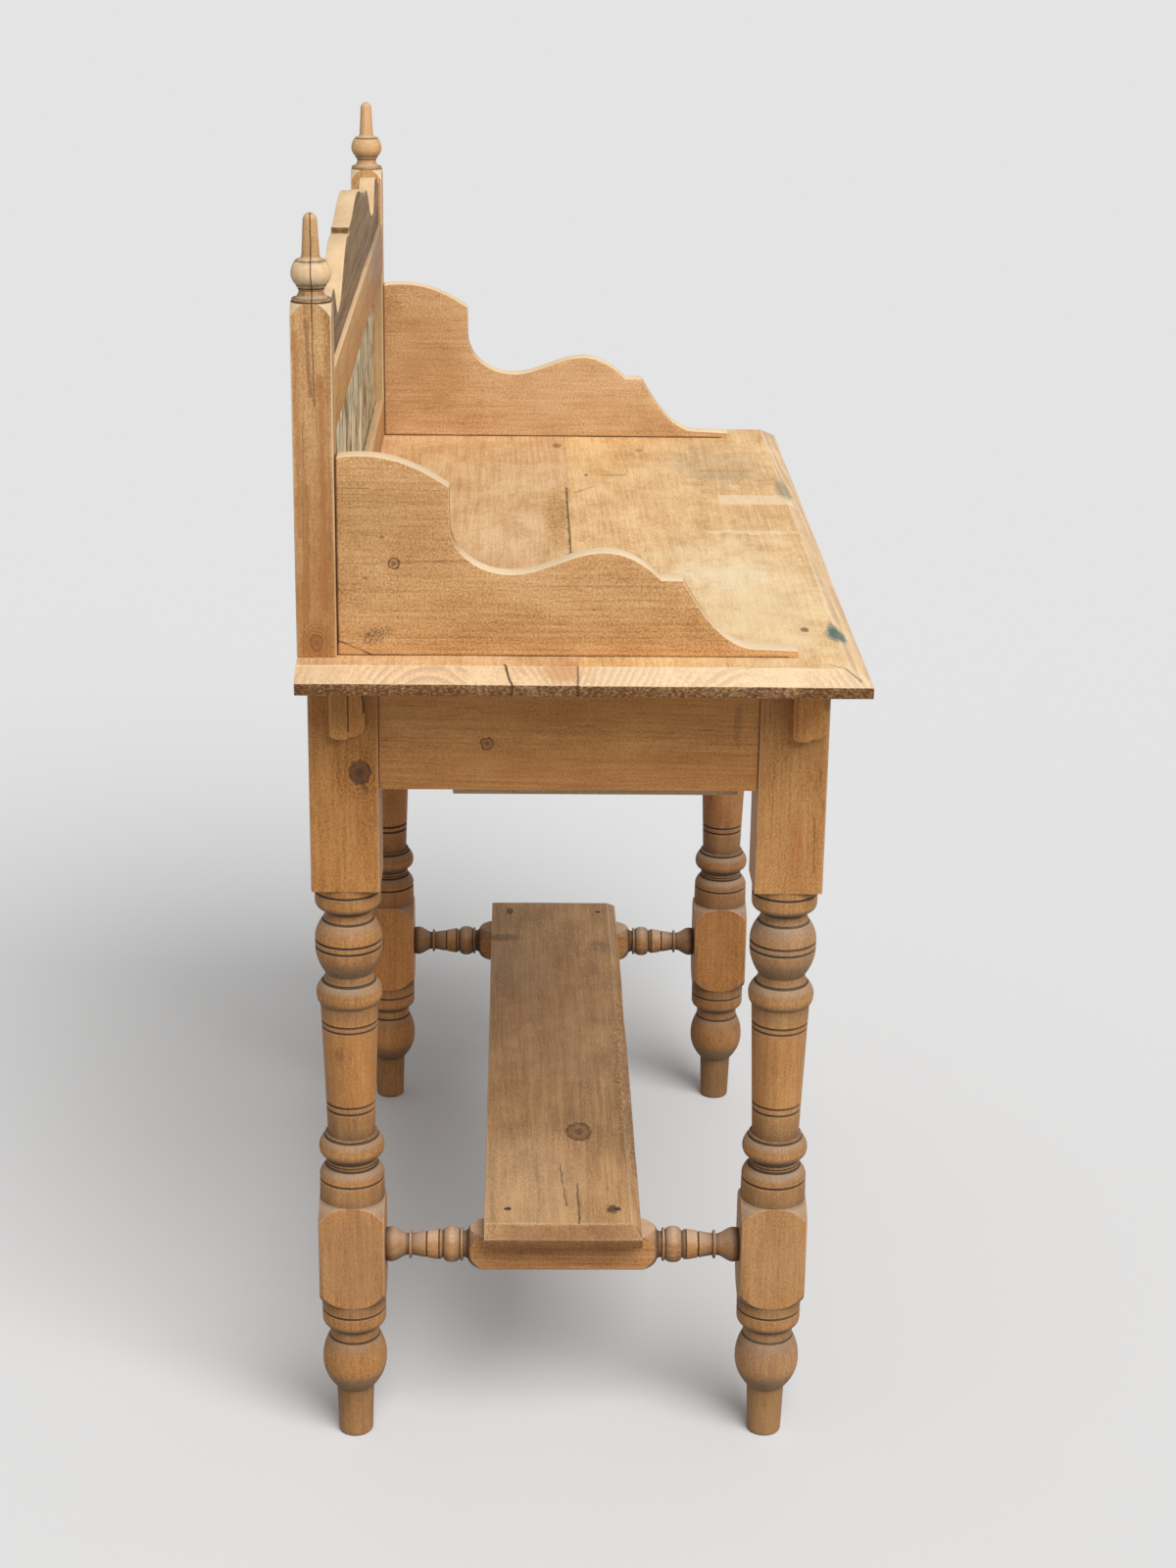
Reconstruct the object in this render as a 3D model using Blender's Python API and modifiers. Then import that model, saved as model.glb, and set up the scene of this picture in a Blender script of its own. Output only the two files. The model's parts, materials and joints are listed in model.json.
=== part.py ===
# Pine washstand with turned legs, a low shelf, a frieze drawer, shaped side galleries and a tiled back.
# Metres. +X runs along its length, -Y is its front and +Z is up.
# The origin is on the floor under the middle of the top.

import math

import bmesh
import bpy
from mathutils import Vector

# Fits between pieces
FIT_GAP = 0.0003
DRAWER_PLAY = 0.0010

# Ways of making: weld distance, and the round that clears the corners of square stock
WELD_DISTANCE = 0.00001
STOCK_TO_ROUND = 0.75

# Top, of two boards, bevelled on its ends and front
TOP_LENGTH = 0.925
TOP_DEPTH = 0.460
TOP_HEIGHT = 0.760
TOP_THICKNESS = 0.020
TOP_BEVEL_WIDTH = 0.0175
TOP_BEVEL_DROP = 0.0105
TOP_BACK_BOARD_WIDTH = 0.226

# Legs, of square stock, set in from the edges of the top
LEG_SIDE = 0.058
LEG_END_INSET = 0.0825
LEG_FRONT_INSET = 0.024
LEG_BACK_INSET = 0.004
LEG_UPPER_BLOCK_HEIGHT = 0.200
LEG_LOWER_BLOCK_HEIGHT = 0.100
LEG_LOWER_BLOCK_LIFT = 0.140
LEG_SHOULDER_HEIGHT = 0.0202
LEG_SEGMENTS = 14

# Aprons and front rails, tenoned into the legs
APRON_HEIGHT = 0.109
APRON_THICKNESS = 0.020
APRON_SETBACK = 0.003
TENON_THICKNESS = 0.009
TENON_LENGTH = 0.022
TENON_SHOULDER = 0.012
TOP_RAIL_HEIGHT = 0.018
TOP_RAIL_DEPTH = 0.040
DRAWER_RAIL_HEIGHT = 0.020
DRAWER_RAIL_DEPTH = 0.045
RAIL_TENON_WIDTH = 0.024

# Corbels under the ends of the top
CORBEL_HEIGHT = 0.060
CORBEL_WIDTH = 0.029
CORBEL_DEPTH = 0.013
CORBEL_STEP_WIDTH = 0.014
CORBEL_STEP_DEPTH = 0.005
CORBEL_STEP_RISE = 0.009
CORBEL_BACK_OFFSET = -0.0045
CORBEL_FRONT_OFFSET = -0.0125

# Glue blocks under the top
GLUE_BLOCK_SIDE = 0.024
GLUE_BLOCK_LENGTH = 0.050
GLUE_BLOCK_SPREAD = 0.160

# End stretchers, of square stock
STRETCHER_SIDE = 0.034
STRETCHER_HEIGHT = 0.190
STRETCHER_TENON_RADIUS = 0.008
STRETCHER_TENON_LENGTH = 0.022
STRETCHER_SEGMENTS = 12

# Shelf, nailed on the stretchers
SHELF_WIDTH = 0.140
SHELF_THICKNESS = 0.018
SHELF_OVERHANG = 0.041
SHELF_BEVEL_WIDTH = 0.014
SHELF_BEVEL_DROP = 0.009
NAIL_LENGTH = 0.038
NAIL_RADIUS = 0.0015
NAIL_HEAD_RADIUS = 0.0035
NAIL_HEAD_HEIGHT = 0.0012
NAIL_EDGE_DISTANCE = 0.021
NAIL_SEGMENTS = 8

# Back posts, of square stock, with a finial above and a spigot into the top
POST_SIDE = 0.032
POST_END_INSET = 0.0385
POST_HEIGHT = 0.2838
POST_SHOULDER_HEIGHT = 0.0155
POST_SPIGOT_RADIUS = 0.008
POST_SPIGOT_LENGTH = 0.015
POST_SEGMENTS = 12

# Side galleries, tongued into the posts
GALLERY_THICKNESS = 0.018
GALLERY_INSET = 0.006
GALLERY_LENGTH = 0.3715
GALLERY_BACK_HEIGHT = 0.161
GALLERY_TONGUE_THICKNESS = 0.006
GALLERY_TONGUE_LENGTH = 0.008
GALLERY_TONGUE_HEIGHT = 0.120

# Back rails and the tiles in their rebates
BACK_RAIL_THICKNESS = 0.024
LOWER_RAIL_HEIGHT = 0.040
UPPER_RAIL_HEIGHT = 0.050
RAIL_LIP_HEIGHT = 0.008
RAIL_LIP_THICKNESS = 0.0085
BACK_TENON_THICKNESS = 0.008
BACK_TENON_LENGTH = 0.012
BACK_TENON_SHOULDER = 0.004
TILE_SIZE = 0.1524
TILE_THICKNESS = 0.008
TILE_JOINT = 0.001
TILE_STILE_MINIMUM = 0.004

# Crest board, tongued into the upper rail
CREST_THICKNESS = 0.016
CREST_SETBACK = 0.0034
CREST_TONGUE_THICKNESS = 0.005
CREST_TONGUE_HEIGHT = 0.006
CREST_TONGUE_SHARE = 0.67
CREST_CENTRE_HEIGHT = 0.0845

# Drawer and what it slides on
DRAWER_BACK_SPACE = 0.106
DRAWER_FRONT_THICKNESS = 0.020
DRAWER_SIDE_THICKNESS = 0.011
DRAWER_BACK_THICKNESS = 0.011
DRAWER_BOTTOM_THICKNESS = 0.007
DRAWER_BOTTOM_LIFT = 0.009
DRAWER_GROOVE_DEPTH = 0.005
DRAWER_LAP = 0.012
DRAWER_SIDE_DROP = 0.006
RUNNER_FRONT_GAP = 0.015
RUNNER_BACK_GAP = 0.061
KICKER_BACK_GAP = 0.011
RUNNER_DROP = 0.011
RUNNER_LEDGE = 0.020
GUIDE_HEIGHT = 0.035
STOP_WIDTH = 0.040
STOP_DEPTH = 0.018
STOP_HEIGHT = 0.006
KNOB_INSET = 0.130
KNOB_SPIGOT_RADIUS = 0.006
KNOB_SPIGOT_LENGTH = 0.016
KNOB_SEGMENTS = 12

# Turned mouldings, from the top down: shape, length and end radius
LEG_CUP_RADIUS = 0.0284
LEG_UPPER_MOULDINGS = [
    ("line", 0.0170, 0.0282),
    ("round", 0.0060, 0.0240),
    ("hollow", 0.0055, 0.0195),
    ("line", 0.0055, 0.0218),
    ("settle", 0.0185, 0.0288),
    ("line", 0.0060, 0.0288),
    ("fall", 0.0245, 0.0210),
    ("hollow", 0.0035, 0.0203),
    ("line", 0.0045, 0.0226),
    ("settle", 0.0115, 0.0285),
    ("round", 0.0085, 0.0257),
    ("line", 0.0005, 0.0252),
]
LEG_COLUMN_END_RADIUS = 0.0207
LEG_LOWER_MOULDINGS = [
    ("line", 0.0006, 0.0232),
    ("line", 0.0018, 0.0236),
    ("settle", 0.0115, 0.0288),
    ("round", 0.0070, 0.0246),
    ("hollow", 0.0048, 0.0220),
    ("line", 0.0050, 0.0226),
    ("settle", 0.0110, 0.0286),
    ("line", 0.0213, 0.0288),
]
LEG_FOOT_MOULDINGS = [
    ("line", 0.0205, 0.0286),
    ("round", 0.0055, 0.0262),
    ("hollow", 0.0075, 0.0221),
    ("line", 0.0058, 0.0226),
    ("settle", 0.0225, 0.0288),
    ("line", 0.0030, 0.0288),
    ("fall", 0.0265, 0.0178),
    ("line", 0.0008, 0.0168),
]
LEG_FOOT_END_RADIUS = 0.0154
LEG_FOOT_ROUNDING = 0.0030

# Stretcher mouldings, from the middle block out to the leg
STRETCHER_BLOCK_HALF = 0.068
STRETCHER_MOULDINGS = [
    ("arch", 0.0160, 0.0150),
    ("hollow", 0.0045, 0.0115),
    ("line", 0.0000, 0.0150),
    ("line", 0.0030, 0.0150),
    ("line", 0.0000, 0.0125),
    ("round", 0.0075, 0.0162),
    ("round", 0.0075, 0.0118),
    ("line", 0.0040, 0.0140),
    ("line", 0.0245, 0.0097),
    ("line", 0.0000, 0.0130),
    ("line", 0.0025, 0.0130),
    ("line", 0.0000, 0.0095),
]
STRETCHER_COLLAR_RADIUS = 0.0155

# Finial mouldings, from its tip down to the shoulder of the post
FINIAL_MOULDINGS = [
    ("round", 0.0060, 0.0056),
    ("line", 0.0255, 0.0070),
    ("hollow", 0.0043, 0.0118),
    ("settle", 0.0107, 0.0158),
    ("fall", 0.0080, 0.0125),
    ("line", 0.0047, 0.0098),
    ("hollow", 0.0061, 0.0155),
    ("line", 0.0014, 0.0155),
]

# Knob mouldings, from the face in to the drawer front
KNOB_FACE_RADIUS = 0.009
KNOB_MOULDINGS = [
    ("round", 0.0040, 0.0150),
    ("round", 0.0070, 0.0115),
    ("hollow", 0.0050, 0.0080),
    ("hollow", 0.0055, 0.0115),
]

# Upper edge of a gallery, from the post forward: shape, run and end height
GALLERY_EDGE = [
    ("round", 0.0200, 0.1635),
    ("fall", 0.0695, 0.1385),
    ("line", 0.0005, 0.1080),
    ("hollow", 0.0485, 0.0680),
    ("ogee", 0.0750, 0.0865),
    ("fall", 0.0455, 0.0640),
    ("line", 0.0175, 0.0640),
    ("settle", 0.0600, 0.0075),
]
GALLERY_NOSE_HEIGHT = 0.0062

# Upper edge of the crest, from its middle to a post: shape, share of that length and end height
CREST_EDGE = [
    ("ogee", 0.3090, 0.0710),
    ("line", 0.0000, 0.0645),
    ("settle", 0.0785, 0.0670),
    ("ogee", 0.2870, 0.0280),
    ("line", 0.0589, 0.0265),
    ("ogee", 0.1251, 0.0540),
    ("fall", 0.1415, 0.0430),
]

CURVE_STEPS = {"line": 1, "round": 3, "hollow": 3, "ogee": 5, "fall": 5, "settle": 5, "arch": 5}
ARCH_POWER = 2 / 3  # turns the end of a square block into an arch
PINE = ((0.50, 0.30, 0.135), 0.50)
PALE_PINE = ((0.62, 0.43, 0.24), 0.45)
WEATHERED_PINE = ((0.36, 0.26, 0.15), 0.65)
RAW_PINE = ((0.55, 0.40, 0.24), 0.75)
GLAZE = ((0.42, 0.38, 0.20), 0.15)
IRON = ((0.06, 0.05, 0.045), 0.70)

# Levels and planes that several pieces share
top_underside = TOP_HEIGHT - TOP_THICKNESS
seat_height = top_underside - FIT_GAP
apron_bottom = top_underside - APRON_HEIGHT
leg_x = TOP_LENGTH / 2 - LEG_END_INSET - LEG_SIDE / 2
leg_back_y = TOP_DEPTH / 2 - LEG_BACK_INSET - LEG_SIDE / 2
leg_front_y = -TOP_DEPTH / 2 + LEG_FRONT_INSET + LEG_SIDE / 2
leg_middle_y = (leg_back_y + leg_front_y) / 2
leg_inner_x = leg_x - LEG_SIDE / 2
leg_inner_back_y = leg_back_y - LEG_SIDE / 2
leg_inner_front_y = leg_front_y + LEG_SIDE / 2
apron_outer_x = leg_x + LEG_SIDE / 2 - APRON_SETBACK
apron_inner_x = apron_outer_x - APRON_THICKNESS
front_plane_y = leg_front_y - LEG_SIDE / 2 + APRON_SETBACK
back_apron_y = leg_back_y + LEG_SIDE / 2 - APRON_SETBACK - APRON_THICKNESS
post_x = TOP_LENGTH / 2 - POST_END_INSET - POST_SIDE / 2
post_inner_x = post_x - POST_SIDE / 2
post_y = TOP_DEPTH / 2 - POST_SIDE / 2
post_front_y = post_y - POST_SIDE / 2
on_top = TOP_HEIGHT + FIT_GAP
lower_rail_top = TOP_HEIGHT + LOWER_RAIL_HEIGHT
tile_bottom = lower_rail_top - RAIL_LIP_HEIGHT + FIT_GAP
tile_top = tile_bottom + TILE_SIZE
upper_rail_bottom = tile_top + FIT_GAP - RAIL_LIP_HEIGHT
upper_rail_top = upper_rail_bottom + UPPER_RAIL_HEIGHT
tile_front_y = post_front_y + RAIL_LIP_THICKNESS + FIT_GAP
panel_front_y = tile_front_y + TILE_THICKNESS + FIT_GAP
rail_back_y = post_front_y + BACK_RAIL_THICKNESS
drawer_rail_top = apron_bottom + DRAWER_RAIL_HEIGHT
top_rail_bottom = seat_height - TOP_RAIL_HEIGHT
drawer_bottom = drawer_rail_top + FIT_GAP
drawer_top = top_rail_bottom - DRAWER_PLAY
drawer_half_width = leg_inner_x - DRAWER_PLAY
drawer_back_y = back_apron_y - DRAWER_BACK_SPACE
SIDES = (("left", -1), ("right", 1))


def clear_scene():
    for item in list(bpy.data.objects):
        bpy.data.objects.remove(item, do_unlink=True)


def new_collection(name):
    group = bpy.data.collections.new(name)
    bpy.context.scene.collection.children.link(group)
    return group


def give_finish(piece, finish):
    colour, roughness = finish
    material = bpy.data.materials.new(piece.name + "_finish")
    material.use_nodes = True
    shader = material.node_tree.nodes["Principled BSDF"]
    shader.inputs["Base Color"].default_value = (*colour, 1.0)
    shader.inputs["Roughness"].default_value = roughness
    shader.inputs["Metallic"].default_value = 1.0 if finish is IRON else 0.0
    piece.data.materials.append(material)


def add_piece(name, mesh, place, finish, turn=(0.0, 0.0, 0.0)):
    piece = bpy.data.objects.new(name, mesh)
    piece.location = place
    piece.rotation_euler = turn
    parts.objects.link(piece)
    give_finish(piece, finish)
    return piece


def add_cutter(name, mesh, place, turn=(0.0, 0.0, 0.0)):
    cutter = bpy.data.objects.new(name, mesh)
    cutter.location = place
    cutter.rotation_euler = turn
    cutter.hide_render = True
    cutter.display_type = "WIRE"
    cutters.objects.link(cutter)
    return cutter


def combine(piece, other, operation):
    modifier = piece.modifiers.new(other.name, "BOOLEAN")
    modifier.operation = operation
    modifier.solver = "EXACT"
    modifier.object = other


def ordered(side, near, far):
    return tuple(sorted((side * near, side * far)))


def middle_of(spans):
    return Vector([(low + high) / 2 for low, high in spans])


def box_mesh(name, spans):
    shape = bmesh.new()
    bmesh.ops.create_cube(shape, size=1.0)
    bmesh.ops.scale(shape, vec=[high - low for low, high in spans], verts=shape.verts)
    mesh = bpy.data.meshes.new(name)
    shape.to_mesh(mesh)
    shape.free()
    return mesh


def add_board(name, spans, finish):
    return add_piece(name, box_mesh(name, spans), middle_of(spans), finish)


def add_box_cutter(name, spans, clearance=0.0):
    wide = [(low - clearance, high + clearance) for low, high in spans]
    return add_cutter(name, box_mesh(name, wide), middle_of(wide))


def curve_point(shape, t, grows):
    quarter = t * math.pi / 2
    quick = (1 - math.cos(quarter), math.sin(quarter))
    slow = (math.sin(quarter), 1 - math.cos(quarter))
    if shape == "round":
        return quick if grows else slow
    if shape == "hollow":
        return slow if grows else quick
    if shape == "ogee":
        return t, (1 - math.cos(math.pi * t)) / 2
    if shape == "fall":
        return t, t * t
    if shape == "settle":
        return t, 1 - (1 - t) ** 2
    if shape == "arch":
        return t, t ** ARCH_POWER if grows else 1 - (1 - t) ** ARCH_POWER
    return t, t


def moulding_points(start_size, start, rows):
    # Each row carries the size from where it is to its end size, along its length.
    size, along = start_size, start
    points = [(size, along)]
    for shape, length, end_size in rows:
        steps = CURVE_STEPS[shape]
        for step in range(1, steps + 1):
            run, rise = curve_point(shape, step / steps, end_size > size)
            points.append((size + (end_size - size) * rise, along + length * run))
        size, along = end_size, along + length
    return points


def turned_mesh(name, profile):
    # The profile is radius and height, from the top down.
    mesh = bpy.data.meshes.new(name)
    vertices = [(radius, 0.0, height) for radius, height in profile]
    edges = [(index, index + 1) for index in range(len(vertices) - 1)]
    mesh.from_pydata(vertices, edges, [])
    return mesh


def spin(piece, segments):
    screw = piece.modifiers.new("turning", "SCREW")
    screw.steps = segments
    screw.render_steps = segments
    screw.use_merge_vertices = True
    screw.merge_threshold = WELD_DISTANCE
    screw.use_smooth_shade = True


def square_up(piece, side, low, high):
    # The turned shape is cut from square stock, so its blocks keep the stock's flat faces.
    spans = [(-side / 2, side / 2), (-side / 2, side / 2), (low, high)]
    stock = add_cutter(piece.name + "_stock", box_mesh(piece.name + "_stock", spans), middle_of(spans))
    stock.parent = piece
    combine(piece, stock, "INTERSECT")


def round_stock_radius(side):
    # Wide enough to clear the corners of square stock.
    return side * STOCK_TO_ROUND


def rod_cutter(name, radius, length, segments, place, turn=(0.0, 0.0, 0.0)):
    shape = bmesh.new()
    bmesh.ops.create_cone(
        shape, cap_ends=True, segments=segments, radius1=radius, radius2=radius, depth=length
    )
    mesh = bpy.data.meshes.new(name)
    shape.to_mesh(mesh)
    shape.free()
    return add_cutter(name, mesh, place, turn)


def outline_mesh(name, points, thickness):
    curve = bpy.data.curves.new(name, "CURVE")
    curve.dimensions = "2D"
    curve.fill_mode = "BOTH"
    curve.extrude = thickness / 2
    spline = curve.splines.new("POLY")
    spline.points.add(len(points) - 1)
    for point, (x, y) in zip(spline.points, points):
        point.co = (x, y, 0.0, 1.0)
    spline.use_cyclic_u = True
    drawn = bpy.data.objects.new(name, curve)
    cutters.objects.link(drawn)
    graph = bpy.context.evaluated_depsgraph_get()
    mesh = bpy.data.meshes.new_from_object(drawn.evaluated_get(graph))
    bpy.data.objects.remove(drawn, do_unlink=True)
    shape = bmesh.new()
    shape.from_mesh(mesh)
    bmesh.ops.remove_doubles(shape, verts=shape.verts, dist=WELD_DISTANCE)
    bmesh.ops.recalc_face_normals(shape, faces=shape.faces)
    shape.to_mesh(mesh)
    shape.free()
    return mesh


def bevelled_mesh(name, spans, drop, draw_in):
    # A board whose upper edges are drawn in: draw_in holds the low and high amounts along X and Y.
    (x0, x1), (y0, y1), (z0, z1) = spans
    shape = bmesh.new()
    bmesh.ops.create_cube(shape, size=1.0)
    bmesh.ops.scale(shape, vec=(x1 - x0, y1 - y0, z1 - z0 - drop), verts=shape.verts)
    bmesh.ops.translate(shape, vec=(0.0, 0.0, -drop / 2), verts=shape.verts)
    shape.faces.ensure_lookup_table()
    upper = max(shape.faces, key=lambda face: face.calc_center_median().z)
    raised = bmesh.ops.extrude_face_region(shape, geom=[upper])
    bmesh.ops.delete(shape, geom=[upper], context="FACES")
    for vertex in [item for item in raised["geom"] if isinstance(item, bmesh.types.BMVert)]:
        vertex.co.z += drop
        for axis in (0, 1):
            low, high = draw_in[axis]
            vertex.co[axis] += low if vertex.co[axis] < 0 else -high
    bmesh.ops.recalc_face_normals(shape, faces=shape.faces)
    mesh = bpy.data.meshes.new(name)
    shape.to_mesh(mesh)
    shape.free()
    return mesh


def add_tenoned_bar(name, body, tenon, finish):
    # The tenons are the two ends of one core that runs right through the bar.
    bar = add_board(name, body, finish)
    combine(bar, add_box_cutter(name + "_core", tenon), "UNION")
    mortise = add_box_cutter(name + "_mortise", tenon, FIT_GAP)
    return bar, mortise


def leg_profile():
    block_radius = round_stock_radius(LEG_SIDE)
    block_bottom = top_underside - LEG_UPPER_BLOCK_HEIGHT
    lower_top = LEG_LOWER_BLOCK_LIFT + LEG_LOWER_BLOCK_HEIGHT
    mouldings = LEG_UPPER_MOULDINGS + LEG_LOWER_MOULDINGS
    column_length = block_bottom - lower_top - sum(row[1] for row in mouldings)
    rows = LEG_UPPER_MOULDINGS + [("line", column_length, LEG_COLUMN_END_RADIUS)] + LEG_LOWER_MOULDINGS
    turned_radius = LEG_LOWER_MOULDINGS[-1][2]
    foot_length = LEG_LOWER_BLOCK_LIFT - LEG_FOOT_ROUNDING - sum(row[1] for row in LEG_FOOT_MOULDINGS)
    foot_end = LEG_FOOT_END_RADIUS - LEG_FOOT_ROUNDING
    rows = rows + [
        ("arch", LEG_SHOULDER_HEIGHT, block_radius),
        ("line", LEG_LOWER_BLOCK_HEIGHT - 2 * LEG_SHOULDER_HEIGHT, block_radius),
        ("arch", LEG_SHOULDER_HEIGHT, turned_radius),
    ]
    rows = rows + LEG_FOOT_MOULDINGS
    rows = rows + [("line", foot_length, LEG_FOOT_END_RADIUS), ("round", LEG_FOOT_ROUNDING, foot_end)]
    below = moulding_points(LEG_CUP_RADIUS, 0.0, rows)
    turned = [(radius, block_bottom - depth) for radius, depth in below]
    head = [(0.0, seat_height), (block_radius, seat_height), (block_radius, block_bottom)]
    return head + turned + [(0.0, 0.0)]


def add_legs():
    legs = {}
    for side_name, side in SIDES:
        for end_name, y in (("front", leg_front_y), ("back", leg_back_y)):
            name = f"leg_{end_name}_{side_name}"
            leg = add_piece(name, turned_mesh(name, leg_profile()), (side * leg_x, y, 0.0), PINE)
            spin(leg, LEG_SEGMENTS)
            square_up(leg, LEG_SIDE, -LEG_SIDE, top_underside + LEG_SIDE)
            legs[end_name, side_name] = leg
    return legs


def add_end_aprons(legs):
    for side_name, side in SIDES:
        middle = (apron_outer_x + apron_inner_x) / 2
        body = [
            ordered(side, apron_inner_x, apron_outer_x),
            (leg_inner_front_y + FIT_GAP, leg_inner_back_y - FIT_GAP),
            (apron_bottom, seat_height),
        ]
        tenon = [
            ordered(side, middle - TENON_THICKNESS / 2, middle + TENON_THICKNESS / 2),
            (leg_inner_front_y - TENON_LENGTH, leg_inner_back_y + TENON_LENGTH),
            (apron_bottom + TENON_SHOULDER, seat_height - TENON_SHOULDER),
        ]
        mortise = add_tenoned_bar(f"end_apron_{side_name}", body, tenon, PINE)[1]
        for end_name in ("front", "back"):
            combine(legs[end_name, side_name], mortise, "DIFFERENCE")


def add_cross_bar(name, legs, end_name, y, z, tenon_y, tenon_z):
    # A bar along X between two legs.
    reach = leg_inner_x + TENON_LENGTH
    body = [(-leg_inner_x + FIT_GAP, leg_inner_x - FIT_GAP), y, z]
    mortise = add_tenoned_bar(name, body, [(-reach, reach), tenon_y, tenon_z], PINE)[1]
    for side_name in ("left", "right"):
        combine(legs[end_name, side_name], mortise, "DIFFERENCE")


def add_back_apron(legs):
    middle = back_apron_y + APRON_THICKNESS / 2
    add_cross_bar(
        "back_apron",
        legs,
        "back",
        (back_apron_y, back_apron_y + APRON_THICKNESS),
        (apron_bottom, seat_height),
        (middle - TENON_THICKNESS / 2, middle + TENON_THICKNESS / 2),
        (apron_bottom + TENON_SHOULDER, seat_height - TENON_SHOULDER),
    )


def add_front_rails(legs):
    rails = (
        ("front_top_rail", top_rail_bottom, seat_height, TOP_RAIL_DEPTH),
        ("drawer_rail", apron_bottom, drawer_rail_top, DRAWER_RAIL_DEPTH),
    )
    for name, low, high, depth in rails:
        middle_y = front_plane_y + depth / 2
        middle_z = (low + high) / 2
        add_cross_bar(
            name,
            legs,
            "front",
            (front_plane_y, front_plane_y + depth),
            (low, high),
            (middle_y - RAIL_TENON_WIDTH / 2, middle_y + RAIL_TENON_WIDTH / 2),
            (middle_z - TENON_THICKNESS / 2, middle_z + TENON_THICKNESS / 2),
        )


def corbel_outline():
    # Looking at the end of the stand: a round lobe towards the back, a hollow rise towards the front.
    lobe = CORBEL_WIDTH - CORBEL_STEP_WIDTH
    rise = moulding_points(0.0, 0.0, [("hollow", CORBEL_STEP_WIDTH, CORBEL_STEP_RISE)])
    rounding = moulding_points(0.0, 0.0, [("fall", lobe / 2, CORBEL_STEP_RISE / 3)])
    lower = [(-along, height) for height, along in rise[::-1]]
    lower = lower + [(lobe / 2 + along, height) for height, along in rounding]
    return lower + [(lobe, CORBEL_HEIGHT), (-CORBEL_STEP_WIDTH, CORBEL_HEIGHT)]


def add_corbels():
    places = (
        ("front", leg_front_y + CORBEL_FRONT_OFFSET),
        ("back", leg_back_y + CORBEL_BACK_OFFSET),
    )
    face_x = leg_x + LEG_SIDE / 2 + FIT_GAP
    bottom = seat_height - CORBEL_HEIGHT
    for side_name, side in SIDES:
        for end_name, y in places:
            name = f"corbel_{end_name}_{side_name}"
            mesh = outline_mesh(name, corbel_outline(), CORBEL_DEPTH)
            place = (side * (face_x + CORBEL_DEPTH / 2), y, bottom)
            corbel = add_piece(name, mesh, place, PINE, (math.pi / 2, 0.0, math.pi / 2))
            outer_x = face_x + CORBEL_DEPTH
            step = [
                ordered(side, outer_x - CORBEL_STEP_DEPTH, outer_x + CORBEL_DEPTH),
                (y - 2 * CORBEL_STEP_WIDTH, y),
                (bottom - CORBEL_HEIGHT, seat_height + CORBEL_HEIGHT),
            ]
            combine(corbel, add_box_cutter(name + "_step", step), "DIFFERENCE")


def add_glue_blocks():
    top = seat_height
    for side_name, side in SIDES:
        inner = apron_inner_x - FIT_GAP
        end = [
            ordered(side, inner - GLUE_BLOCK_SIDE, inner),
            (leg_inner_back_y - FIT_GAP - GLUE_BLOCK_LENGTH, leg_inner_back_y - FIT_GAP),
            (top - GLUE_BLOCK_SIDE, top),
        ]
        add_board(f"glue_block_end_{side_name}", end, RAW_PINE)
        near = GLUE_BLOCK_SPREAD - GLUE_BLOCK_LENGTH / 2
        back = [
            ordered(side, near, near + GLUE_BLOCK_LENGTH),
            (back_apron_y - FIT_GAP - GLUE_BLOCK_SIDE, back_apron_y - FIT_GAP),
            (top - GLUE_BLOCK_SIDE, top),
        ]
        add_board(f"glue_block_back_{side_name}", back, RAW_PINE)


def stretcher_profile():
    # Half of it, from the middle to the tenon's end, then the same half reversed below.
    block_radius = round_stock_radius(STRETCHER_SIDE)
    shoulder = (leg_inner_back_y - leg_inner_front_y) / 2 - FIT_GAP
    collar_length = shoulder - STRETCHER_BLOCK_HALF - sum(row[1] for row in STRETCHER_MOULDINGS)
    rows = [("line", STRETCHER_BLOCK_HALF, block_radius)] + STRETCHER_MOULDINGS
    rows = rows + [("hollow", collar_length, STRETCHER_COLLAR_RADIUS)]
    rows = rows + [("line", 0.0, STRETCHER_TENON_RADIUS)]
    rows = rows + [("line", STRETCHER_TENON_LENGTH, STRETCHER_TENON_RADIUS), ("line", 0.0, 0.0)]
    half = moulding_points(block_radius, 0.0, rows)[1:]
    return half[::-1] + [(radius, -along) for radius, along in half]


def add_stretchers(legs):
    lie_along_y = (math.pi / 2, 0.0, 0.0)
    reach = (leg_inner_back_y - leg_inner_front_y) / 2 + STRETCHER_TENON_LENGTH
    stretchers = {}
    for side_name, side in SIDES:
        name = f"end_stretcher_{side_name}"
        place = (side * leg_x, leg_middle_y, STRETCHER_HEIGHT)
        stretcher = add_piece(name, turned_mesh(name, stretcher_profile()), place, PINE, lie_along_y)
        spin(stretcher, STRETCHER_SEGMENTS)
        square_up(stretcher, STRETCHER_SIDE, -2 * reach, 2 * reach)
        bore = rod_cutter(
            name + "_bore",
            STRETCHER_TENON_RADIUS + FIT_GAP,
            2 * (reach + FIT_GAP),
            STRETCHER_SEGMENTS,
            place,
            lie_along_y,
        )
        bore.rotation_euler.rotate_axis("Z", math.pi / 2)
        for end_name in ("front", "back"):
            combine(legs[end_name, side_name], bore, "DIFFERENCE")
        stretchers[side_name] = stretcher
    return stretchers


def nail_profile(clearance):
    head = NAIL_HEAD_RADIUS + clearance
    shank = NAIL_RADIUS + clearance
    under = -NAIL_HEAD_HEIGHT - clearance
    tip = -NAIL_LENGTH - clearance
    return [(0.0, clearance), (head, clearance), (head, under), (shank, under), (shank, tip), (0.0, tip)]


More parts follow.
